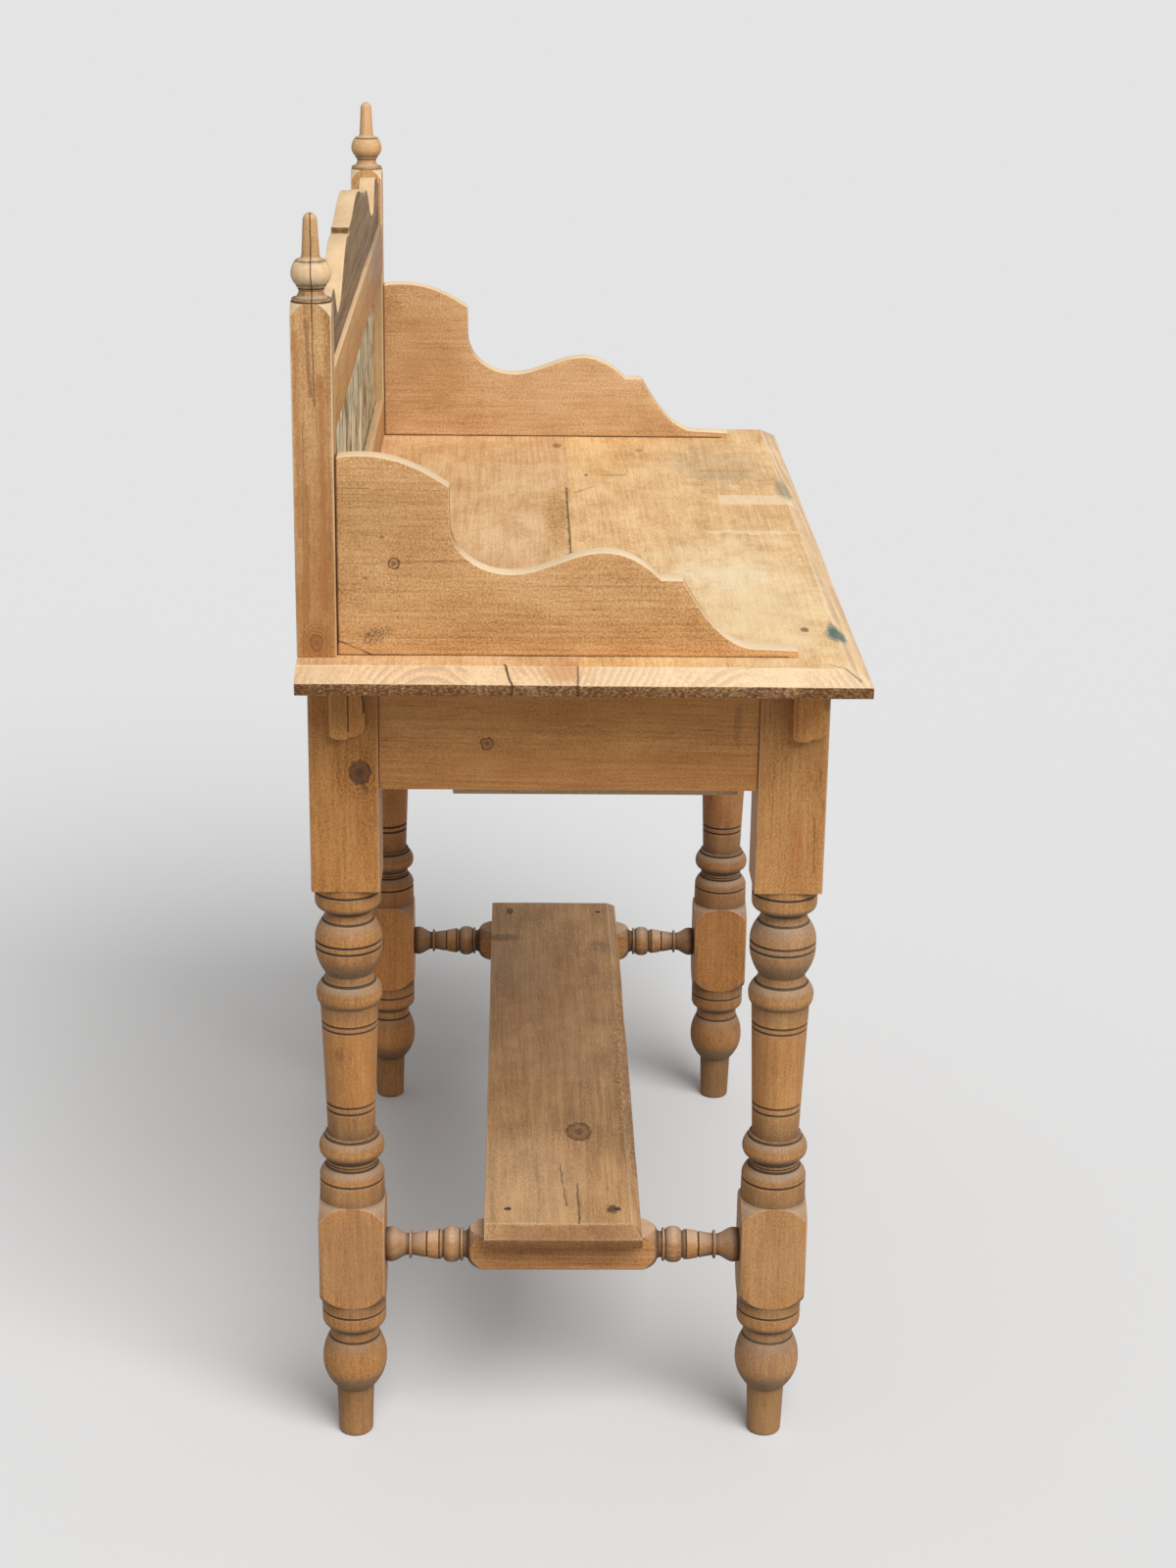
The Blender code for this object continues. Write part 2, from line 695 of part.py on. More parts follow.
def add_shelf(stretchers):
    bottom = STRETCHER_HEIGHT + STRETCHER_SIDE / 2 + FIT_GAP
    top = bottom + SHELF_THICKNESS
    half = leg_x + SHELF_OVERHANG
    spans = [
        (-half, half),
        (leg_middle_y - SHELF_WIDTH / 2, leg_middle_y + SHELF_WIDTH / 2),
        (bottom, top),
    ]
    draw_in = [(SHELF_BEVEL_WIDTH, SHELF_BEVEL_WIDTH), (SHELF_BEVEL_WIDTH, 0.0)]
    mesh = bevelled_mesh("shelf_board", spans, SHELF_BEVEL_DROP, draw_in)
    shelf = add_piece("shelf_board", mesh, middle_of(spans), PINE)
    reach = SHELF_WIDTH / 2 - NAIL_EDGE_DISTANCE
    for side_name, side in SIDES:
        for end_name, y in (("front", leg_middle_y - reach), ("back", leg_middle_y + reach)):
            name = f"shelf_nail_{end_name}_{side_name}"
            place = (side * leg_x, y, top)
            nail = add_piece(name, turned_mesh(name, nail_profile(0.0)), place, IRON)
            spin(nail, NAIL_SEGMENTS)
            hole = add_cutter(name + "_hole", turned_mesh(name + "_hole", nail_profile(FIT_GAP)), place)
            spin(hole, NAIL_SEGMENTS)
            combine(shelf, hole, "DIFFERENCE")
            combine(stretchers[side_name], hole, "DIFFERENCE")


def add_top():
    half = TOP_LENGTH / 2
    joint_y = TOP_DEPTH / 2 - TOP_BACK_BOARD_WIDTH
    ends = (TOP_BEVEL_WIDTH, TOP_BEVEL_WIDTH)
    boards = (
        ("top_board_front", -TOP_DEPTH / 2, joint_y - FIT_GAP / 2, (TOP_BEVEL_WIDTH, 0.0)),
        ("top_board_back", joint_y + FIT_GAP / 2, TOP_DEPTH / 2, (0.0, 0.0)),
    )
    made = {}
    for name, front, back, edges in boards:
        spans = [(-half, half), (front, back), (top_underside, TOP_HEIGHT)]
        mesh = bevelled_mesh(name, spans, TOP_BEVEL_DROP, [ends, edges])
        made[name] = add_piece(name, mesh, middle_of(spans), PALE_PINE)
    return made["top_board_back"]


def post_profile():
    block_radius = round_stock_radius(POST_SIDE)
    finial_height = sum(row[1] for row in FINIAL_MOULDINGS)
    tip = TOP_HEIGHT + POST_HEIGHT + finial_height
    square_length = POST_HEIGHT - POST_SHOULDER_HEIGHT - FIT_GAP
    rows = FINIAL_MOULDINGS + [
        ("arch", POST_SHOULDER_HEIGHT, block_radius),
        ("line", square_length, block_radius),
        ("line", 0.0, POST_SPIGOT_RADIUS),
        ("line", POST_SPIGOT_LENGTH, POST_SPIGOT_RADIUS),
        ("line", 0.0, 0.0),
    ]
    return [(radius, tip - depth) for radius, depth in moulding_points(0.0, 0.0, rows)]


def add_posts(top_board):
    posts = {}
    for side_name, side in SIDES:
        name = f"back_post_{side_name}"
        place = (side * post_x, post_y, 0.0)
        post = add_piece(name, turned_mesh(name, post_profile()), place, PINE)
        spin(post, POST_SEGMENTS)
        square_up(post, POST_SIDE, TOP_HEIGHT - TOP_THICKNESS, 2 * TOP_HEIGHT)
        length = 2 * (POST_SPIGOT_LENGTH + FIT_GAP)
        radius = POST_SPIGOT_RADIUS + FIT_GAP
        socket = rod_cutter(
            name + "_socket", radius, length, POST_SEGMENTS, (side * post_x, post_y, on_top)
        )
        socket.rotation_euler.z = math.pi / 2
        combine(top_board, socket, "DIFFERENCE")
        posts[side_name] = post
    return posts


def gallery_outline():
    edge = moulding_points(GALLERY_BACK_HEIGHT, FIT_GAP, GALLERY_EDGE)
    edge = edge + [(GALLERY_NOSE_HEIGHT, GALLERY_LENGTH)]
    upper = [(-along, height) for height, along in edge]
    return [(-FIT_GAP, FIT_GAP)] + upper + [(-GALLERY_LENGTH, FIT_GAP)]


def add_galleries(posts):
    outer_x = post_x + POST_SIDE / 2 - GALLERY_INSET
    middle_x = outer_x - GALLERY_THICKNESS / 2
    for side_name, side in SIDES:
        name = f"gallery_{side_name}"
        mesh = outline_mesh(name, gallery_outline(), GALLERY_THICKNESS)
        place = (side * middle_x, post_front_y, TOP_HEIGHT)
        gallery = add_piece(name, mesh, place, PINE, (math.pi / 2, 0.0, math.pi / 2))
        half_tongue = GALLERY_TONGUE_THICKNESS / 2
        tongue = [
            ordered(side, middle_x - half_tongue, middle_x + half_tongue),
            (post_front_y - GALLERY_TONGUE_LENGTH, post_front_y + GALLERY_TONGUE_LENGTH),
            (on_top + GALLERY_TONGUE_LENGTH, on_top + GALLERY_TONGUE_LENGTH + GALLERY_TONGUE_HEIGHT),
        ]
        combine(gallery, add_box_cutter(name + "_tongue", tongue), "UNION")
        combine(posts[side_name], add_box_cutter(name + "_groove", tongue, FIT_GAP), "DIFFERENCE")


def add_back_rail(name, posts, low, high, tenon_low, tenon_high):
    reach = post_inner_x + BACK_TENON_LENGTH
    tenon_y = post_front_y + RAIL_LIP_THICKNESS
    body = [(-post_inner_x + FIT_GAP, post_inner_x - FIT_GAP), (post_front_y, rail_back_y), (low, high)]
    tenon = [(-reach, reach), (tenon_y, tenon_y + BACK_TENON_THICKNESS), (tenon_low, tenon_high)]
    rail, mortise = add_tenoned_bar(name, body, tenon, PINE)
    for post in posts.values():
        combine(post, mortise, "DIFFERENCE")
    return rail


def add_back_rails(posts):
    ledge = tile_bottom - FIT_GAP
    lower = add_back_rail(
        "lower_back_rail",
        posts,
        on_top,
        lower_rail_top,
        on_top + BACK_TENON_SHOULDER,
        ledge - BACK_TENON_SHOULDER,
    )
    soffit = tile_top + FIT_GAP
    upper = add_back_rail(
        "upper_back_rail",
        posts,
        upper_rail_bottom,
        upper_rail_top,
        soffit + BACK_TENON_SHOULDER,
        upper_rail_top - CREST_TONGUE_HEIGHT - BACK_TENON_SHOULDER,
    )
    rebate = [
        (-post_x, post_x),
        (tile_front_y - FIT_GAP, rail_back_y + BACK_RAIL_THICKNESS),
        (ledge, soffit),
    ]
    cutter = add_box_cutter("tile_rebate", rebate)
    combine(lower, cutter, "DIFFERENCE")
    combine(upper, cutter, "DIFFERENCE")
    return upper


def add_tiles():
    span = 2 * post_inner_x
    count = int((span - 2 * TILE_STILE_MINIMUM + TILE_JOINT) / (TILE_SIZE + TILE_JOINT))
    row_length = count * TILE_SIZE + (count - 1) * TILE_JOINT
    depth = (tile_front_y, tile_front_y + TILE_THICKNESS)
    for index in range(count):
        low = -row_length / 2 + index * (TILE_SIZE + TILE_JOINT)
        add_board(f"tile_{index + 1}", [(low, low + TILE_SIZE), depth, (tile_bottom, tile_top)], GLAZE)
    for side_name, side in SIDES:
        across = ordered(side, row_length / 2 + FIT_GAP, post_inner_x - FIT_GAP)
        add_board(f"tile_stile_{side_name}", [across, depth, (tile_bottom, tile_top)], PINE)
    across = (-post_inner_x + FIT_GAP, post_inner_x - FIT_GAP)
    add_board("back_panel", [across, (panel_front_y, rail_back_y), (tile_bottom, tile_top)], RAW_PINE)


def crest_outline():
    # The right half from the middle outwards, and the same half mirrored. Heights stand on the rail.
    end = post_inner_x - FIT_GAP
    rows = [(shape, share * end, height) for shape, share, height in CREST_EDGE]
    edge = [(along, height) for height, along in moulding_points(CREST_CENTRE_HEIGHT, 0.0, rows)]
    right = edge + [(end, FIT_GAP)]
    return right + [(-x, height) for x, height in right[:0:-1]]


def add_crest(upper_rail):
    middle_y = post_front_y + CREST_SETBACK + CREST_THICKNESS / 2
    mesh = outline_mesh("crest_board", crest_outline(), CREST_THICKNESS)
    place = (0.0, middle_y, upper_rail_top)
    crest = add_piece("crest_board", mesh, place, WEATHERED_PINE, (math.pi / 2, 0.0, 0.0))
    reach = post_inner_x * CREST_TONGUE_SHARE
    tongue = [
        (-reach, reach),
        (middle_y - CREST_TONGUE_THICKNESS / 2, middle_y + CREST_TONGUE_THICKNESS / 2),
        (upper_rail_top - CREST_TONGUE_HEIGHT, upper_rail_top + CREST_TONGUE_HEIGHT),
    ]
    combine(crest, add_box_cutter("crest_tongue", tongue), "UNION")
    combine(upper_rail, add_box_cutter("crest_groove", tongue, FIT_GAP), "DIFFERENCE")


def add_runners():
    front = leg_inner_front_y + RUNNER_FRONT_GAP
    back = leg_inner_back_y - RUNNER_BACK_GAP
    kicker_back = leg_inner_back_y - GLUE_BLOCK_LENGTH - KICKER_BACK_GAP
    for side_name, side in SIDES:
        outer = apron_inner_x - FIT_GAP
        inner = leg_inner_x - RUNNER_LEDGE
        runner = add_board(
            f"drawer_runner_{side_name}",
            [
                ordered(side, inner, outer),
                (front, back),
                (apron_bottom - RUNNER_DROP, drawer_rail_top + GUIDE_HEIGHT),
            ],
            RAW_PINE,
        )
        channel = [
            ordered(side, inner - RUNNER_LEDGE, leg_inner_x),
            (front - RUNNER_FRONT_GAP, back + RUNNER_FRONT_GAP),
            (drawer_rail_top, seat_height),
        ]
        combine(runner, add_box_cutter(f"drawer_channel_{side_name}", channel), "DIFFERENCE")
        kicker = [
            ordered(side, inner, outer),
            (leg_inner_front_y + FIT_GAP, kicker_back),
            (top_rail_bottom, seat_height),
        ]
        add_board(f"drawer_kicker_{side_name}", kicker, RAW_PINE)
        stop_y = front_plane_y + DRAWER_FRONT_THICKNESS + FIT_GAP
        stop = [
            ordered(side, drawer_half_width / 2, drawer_half_width / 2 + STOP_WIDTH),
            (stop_y, stop_y + STOP_DEPTH),
            (drawer_rail_top + FIT_GAP, drawer_rail_top + STOP_HEIGHT),
        ]
        add_board(f"drawer_stop_{side_name}", stop, RAW_PINE)


def knob_profile():
    rows = KNOB_MOULDINGS + [
        ("line", 0.0, KNOB_SPIGOT_RADIUS),
        ("line", KNOB_SPIGOT_LENGTH, KNOB_SPIGOT_RADIUS),
        ("line", 0.0, 0.0),
    ]
    reach = sum(row[1] for row in KNOB_MOULDINGS)
    points = moulding_points(KNOB_FACE_RADIUS, 0.0, rows)
    return [(0.0, reach)] + [(radius, reach - depth) for radius, depth in points]


def add_drawer():
    carrier = bpy.data.objects.new("drawer_slide", None)
    carrier.location = (0.0, front_plane_y, (drawer_bottom + drawer_top) / 2)
    parts.objects.link(carrier)
    front_back_y = front_plane_y + DRAWER_FRONT_THICKNESS
    lap_y = front_back_y - DRAWER_LAP
    inner = drawer_half_width - DRAWER_SIDE_THICKNESS
    side_top = drawer_top - DRAWER_SIDE_DROP
    floor_low = drawer_bottom + DRAWER_BOTTOM_LIFT
    floor_high = floor_low + DRAWER_BOTTOM_THICKNESS
    front = add_board(
        "drawer_front",
        [(-drawer_half_width, drawer_half_width), (front_plane_y, front_back_y), (drawer_bottom, drawer_top)],
        PINE,
    )
    floor_reach = inner + DRAWER_GROOVE_DEPTH
    floor = [
        (-floor_reach, floor_reach),
        (front_back_y - DRAWER_GROOVE_DEPTH, drawer_back_y),
        (floor_low, floor_high),
    ]
    pieces = [front, add_board("drawer_bottom", floor, RAW_PINE)]
    groove = add_box_cutter("drawer_bottom_groove", floor, FIT_GAP)
    combine(front, groove, "DIFFERENCE")
    back = [
        (-inner + FIT_GAP, inner - FIT_GAP),
        (drawer_back_y - DRAWER_BACK_THICKNESS, drawer_back_y),
        (floor_high + FIT_GAP, side_top),
    ]
    pieces.append(add_board("drawer_back", back, RAW_PINE))
    for side_name, side in SIDES:
        spans = [ordered(side, inner, drawer_half_width), (lap_y, drawer_back_y), (drawer_bottom, side_top)]
        board = add_board(f"drawer_side_{side_name}", spans, RAW_PINE)
        combine(board, groove, "DIFFERENCE")
        lap = [
            ordered(side, inner - FIT_GAP, drawer_half_width + DRAWER_LAP),
            (lap_y - FIT_GAP, drawer_back_y),
            (drawer_bottom - DRAWER_LAP, drawer_top + DRAWER_LAP),
        ]
        combine(front, add_box_cutter(f"drawer_lap_{side_name}", lap), "DIFFERENCE")
        name = f"drawer_knob_{side_name}"
        place = (side * (drawer_half_width - KNOB_INSET), front_plane_y - FIT_GAP, carrier.location.z)
        face_forward = (math.pi / 2, 0.0, 0.0)
        knob = add_piece(name, turned_mesh(name, knob_profile()), place, PINE, face_forward)
        spin(knob, KNOB_SEGMENTS)
        length = 2 * (KNOB_SPIGOT_LENGTH + FIT_GAP)
        radius = KNOB_SPIGOT_RADIUS + FIT_GAP
        bore = rod_cutter(name + "_bore", radius, length, KNOB_SEGMENTS, place, face_forward)
        bore.rotation_euler.rotate_axis("Z", math.pi / 2)
        combine(front, bore, "DIFFERENCE")
        pieces = pieces + [board, knob]
    for piece in pieces:
        piece.parent = carrier
        piece.location = piece.location - carrier.location


clear_scene()
parts = new_collection("washstand")
cutters = new_collection("washstand_cutters")
all_legs = add_legs()
add_end_aprons(all_legs)
add_back_apron(all_legs)
add_front_rails(all_legs)
add_corbels()
add_glue_blocks()
all_stretchers = add_stretchers(all_legs)
add_shelf(all_stretchers)
back_board = add_top()
all_posts = add_posts(back_board)
add_galleries(all_posts)
upper_rail = add_back_rails(all_posts)
add_tiles()
add_crest(upper_rail)
add_runners()
add_drawer()
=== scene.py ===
import json
import math

import bmesh
import bpy
from mathutils import Matrix, Vector, noise

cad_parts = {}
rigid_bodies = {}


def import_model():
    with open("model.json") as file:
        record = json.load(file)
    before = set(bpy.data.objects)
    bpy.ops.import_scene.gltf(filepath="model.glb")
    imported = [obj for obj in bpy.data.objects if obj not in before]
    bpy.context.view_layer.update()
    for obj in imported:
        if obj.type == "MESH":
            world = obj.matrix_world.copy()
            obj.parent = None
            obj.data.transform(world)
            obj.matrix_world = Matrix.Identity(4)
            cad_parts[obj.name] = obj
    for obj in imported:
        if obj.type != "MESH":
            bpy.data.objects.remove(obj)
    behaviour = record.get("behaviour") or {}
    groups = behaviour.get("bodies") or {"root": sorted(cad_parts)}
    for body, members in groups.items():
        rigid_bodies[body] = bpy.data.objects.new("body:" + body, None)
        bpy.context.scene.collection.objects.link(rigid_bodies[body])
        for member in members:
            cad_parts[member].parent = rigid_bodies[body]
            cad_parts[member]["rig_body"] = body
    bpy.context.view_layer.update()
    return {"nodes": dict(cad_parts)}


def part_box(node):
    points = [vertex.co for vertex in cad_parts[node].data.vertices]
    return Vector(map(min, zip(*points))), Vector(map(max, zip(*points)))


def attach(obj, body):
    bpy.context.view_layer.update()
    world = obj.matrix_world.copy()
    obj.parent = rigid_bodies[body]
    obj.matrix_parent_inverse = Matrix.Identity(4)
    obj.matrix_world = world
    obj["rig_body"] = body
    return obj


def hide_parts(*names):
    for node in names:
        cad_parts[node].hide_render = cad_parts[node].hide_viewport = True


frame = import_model()
noise.seed_set(5)  # so that loosened corners come out the same each run
print("frame loaded,", len(frame["nodes"]), "nodes")


class Wire:
    # one socket of a node tree; sums on it add Math nodes
    def __init__(self, coat, socket):
        self.coat = coat
        self.socket = socket

    def maths(self, operation, left, right=0.0):
        return self.coat.node("Math", {"operation": operation}, {0: left, 1: right})

    def other(self, name):
        return Wire(self.coat, self.socket.node.outputs[name])

    def __add__(self, other):
        return self.maths("ADD", self, other)

    def __sub__(self, other):
        return self.maths("SUBTRACT", self, other)

    def __rsub__(self, other):
        return self.maths("SUBTRACT", other, self)

    def __mul__(self, other):
        return self.maths("MULTIPLY", self, other)

    def __truediv__(self, other):
        return self.maths("DIVIDE", self, other)

    def __pow__(self, other):
        return self.maths("POWER", self, other)

    def __abs__(self):
        return self.maths("ABSOLUTE", self)

    __radd__ = __add__
    __rmul__ = __mul__


class Coat:
    # the node tree of one material
    def __init__(self, name):
        self.material = bpy.data.materials.new(name)
        self.material.use_nodes = True
        self.tree = self.material.node_tree
        self.shader = self.tree.nodes["Principled BSDF"]
        self.here = self.node("TexCoord", out="Object")

    def feed(self, socket, value):
        if isinstance(value, Wire):
            self.tree.links.new(value.socket, socket)
        elif socket.type == "RGBA":
            socket.default_value = (*value, 1.0)
        else:
            socket.default_value = value

    def node(self, kind, settings=None, sockets=None, out=0):
        made = self.tree.nodes.new("ShaderNode" + kind)
        for key, value in (settings or {}).items():
            if key == "stops":
                self.setStops(made.color_ramp.elements, value)
            else:
                setattr(made, key, value)
        for key, value in (sockets or {}).items():
            self.feed(made.inputs[key], value)
        return Wire(self, made.outputs[out])

    def setStops(self, elements, stops):
        while len(elements) < len(stops):
            elements.new(0.5)
        for element, (place, colour) in zip(elements, stops):
            element.position = place
            element.color = (*colour, 1.0)

    def noise(self, vector, scale, detail=2.0, roughness=0.55):
        sockets = {"Vector": vector, "Scale": scale, "Detail": detail, "Roughness": roughness}
        return self.node("TexNoise", sockets=sockets)

    def rise(self, value, low, high):
        settings = {"interpolation_type": "SMOOTHSTEP"}
        return self.node("MapRange", settings, {"Value": value, "From Min": low, "From Max": high})

    def vector(self, operation, first, second=None, out=0):
        sockets = {0: first} if second is None else {0: first, 1: second}
        return self.node("VectorMath", {"operation": operation}, sockets, out)

    def mix(self, amount, first, second):
        return self.node("Mix", {"data_type": "RGBA"}, {0: amount, 6: first, 7: second}, out=2)

    def split(self, vector):
        x = self.node("SeparateXYZ", sockets={0: vector})
        return [x, x.other("Y"), x.other("Z")]

    def scaled(self, scale, place=(0.0, 0.0, 0.0)):
        return self.node("Mapping", sockets={"Vector": self.here, "Scale": scale, "Location": place})

    def around(self, at, size, square=False):
        # distance from a point, counted in its sizes along X, Y and Z
        scale = [1 / step for step in size]
        place = [-centre * step for centre, step in zip(at, scale)]
        away = self.scaled(scale, place)
        if square:
            x, y, z = self.split(self.vector("ABSOLUTE", away))
            return x.maths("MAXIMUM", x.maths("MAXIMUM", x, y), z)
        return self.vector("LENGTH", away, out="Value")

    def finish(self, colour, roughness, height, depth, shine):
        bump = self.node("Bump", sockets={"Strength": 0.5, "Distance": depth, "Height": height})
        self.feed(self.shader.inputs["Base Color"], colour)
        self.feed(self.shader.inputs["Roughness"], roughness)
        self.feed(self.shader.inputs["Normal"], bump)
        self.feed(self.shader.inputs["Specular IOR Level"], shine)
        return self.material


# habits of the marks on a piece, where a mark doesn't say otherwise
spotHabit = {"square": False, "grit": 160.0, "ragged": 0.8, "core": 0.5, "rim": 1.1, "sunk": 0.0}
lineHabit = {"grit": 90.0, "wander": 0.004, "heart": 0.2, "sunk": 0.0}
speckleRange = (0.42, 0.58)


def spot(at, size, amount, colour, **more):
    return {**spotHabit, "at": at, "size": size, "amount": amount, "colour": colour, **more}


def line(start, end, width, amount, colour, **more):
    # through is the axis along which the line shows on every depth of the piece
    ends = {"start": start, "end": end, "width": width}
    return {**lineHabit, **ends, "amount": amount, "colour": colour, **more}


def knotAt(at, size, dark, rim, swirl=0.15):
    return {"at": at, "size": size, "dark": dark, "rim": rim, "swirl": swirl}


def onFace(axis, place, marks, thick=0.02):
    # marks drawn flat on a face: points and sizes given in two measures get the third
    for mark in marks:
        for key in ("at", "start", "end", "size"):
            if len(mark.get(key, ())) == 2:
                full = list(mark[key])
                full.insert(axis, thick if key == "size" else place)
                mark[key] = full
    return marks


def spotMask(coat, mark):
    # an uneven patch, round or square cornered
    far = coat.around(mark["at"], mark["size"], mark["square"])
    grit = coat.noise(coat.here, mark["grit"], 3.0) - 0.5
    mask = 1.0 - coat.rise(far + grit * mark["ragged"], mark["core"], mark["rim"])
    if "speckle" in mark:
        mask = mask * coat.rise(coat.noise(coat.here, mark["speckle"]), *speckleRange)
    return mask


def lineMask(coat, mark):
    # a thin wandering line between two points
    start = Vector(mark["start"])
    run = Vector(mark["end"]) - start
    sway = coat.noise(coat.here, mark["grit"]).other("Color")
    centred = coat.vector("SUBTRACT", sway, (0.5, 0.5, 0.5))
    swayed = coat.node("VectorMath", {"operation": "SCALE"}, {0: centred, "Scale": mark["wander"]})
    offset = coat.vector("SUBTRACT", coat.vector("ADD", coat.here, swayed), start)
    if "through" in mark:
        kept = Vector([0.0 if axis == mark["through"] else 1.0 for axis in range(3)])
        offset = coat.vector("MULTIPLY", offset, kept)
        run = run * kept
    share = coat.vector("DOT_PRODUCT", offset, run / run.length_squared, out="Value")
    held = coat.node("Math", {"operation": "ADD", "use_clamp": True}, {0: share, 1: 0.0})
    nearest = coat.node("VectorMath", {"operation": "SCALE"}, {0: run, "Scale": held})
    gap = coat.vector("DISTANCE", offset, nearest, out="Value")
    return 1.0 - coat.rise(gap, mark["width"] * mark["heart"], mark["width"])


# stripped and waxed pine in its several states: pale, middle and dark wood
tones = {
    "waxed": ((0.74, 0.47, 0.235), (0.6, 0.33, 0.134), (0.3, 0.137, 0.046)),
    "turned": ((0.64, 0.35, 0.15), (0.52, 0.245, 0.082), (0.25, 0.098, 0.028)),
    "scrubbed": ((0.85, 0.62, 0.35), (0.73, 0.455, 0.2), (0.46, 0.235, 0.082)),
    "footworn": ((0.56, 0.34, 0.175), (0.44, 0.24, 0.105), (0.23, 0.112, 0.042)),
    "greyed": ((0.42, 0.29, 0.165), (0.29, 0.192, 0.105), (0.13, 0.08, 0.04)),
    "raw": ((0.74, 0.55, 0.33), (0.62, 0.42, 0.22), (0.4, 0.235, 0.1)),
}
grimeTone = (0.062, 0.031, 0.014)
endGrainTone = (0.125, 0.048, 0.014)
slopeTone = (0.8, 0.64, 0.44)
# dirt of handling, also used for the painted shade on faces that look down
handDirtAndUnderShadeTone = (0.15, 0.116, 0.076)
# pale of bleaching and rubbed wear, also used for the painted highlight on faces that look up
bleachTone = (0.86, 0.68, 0.44)
knotTone = (0.19, 0.085, 0.037)
knotEdge = (0.07, 0.03, 0.013)

pineHabit = {
    "tint": (1.0, 1.0, 1.0),
    "spacing": 0.0042,
    "wave": 0.02,
    "lean": (0.02, 0.03),
    "shade": 0.42,
    "ringDepth": 0.16,
    "fibreDepth": 0.75,
    "streakDepth": 0.45,
    "mottleDepth": 0.75,
    "fleckDepth": 0.22,
    "speckDepth": 1.15,
    "bumpDepth": 0.0006,
    "bleach": 0.25,
    "bleachTone": bleachTone,
    "wear": 0.14,
    "endDark": 0.75,
    "endLies": 1,
    "slopePale": 0.0,
    "slopeRings": 0.0,
    "grime": False,
    "roughness": 0.52,
    "shine": 0.22,
    "knots": (),
    "marks": (),
    "seed": 0.0,
}
# noise scales across and along the grain, or one for all ways
grainScale = {
    "fibre": (430.0, 14.0),
    "streak": (110.0, 4.0),
    "fleck": (620.0, 55.0),
    "bend": 8.0,
    "ripple": 60.0,
    "band": 16.0,
    "mottle": 26.0,
    "speck": 560.0,
    "knotEdge": 200.0,
    "knotGrit": 240.0,
    "endAcross": 520.0,
    "endAlong": 300.0,
}
toneStops = (0.1, 0.45, 1.0)
knotTurns = 2.6


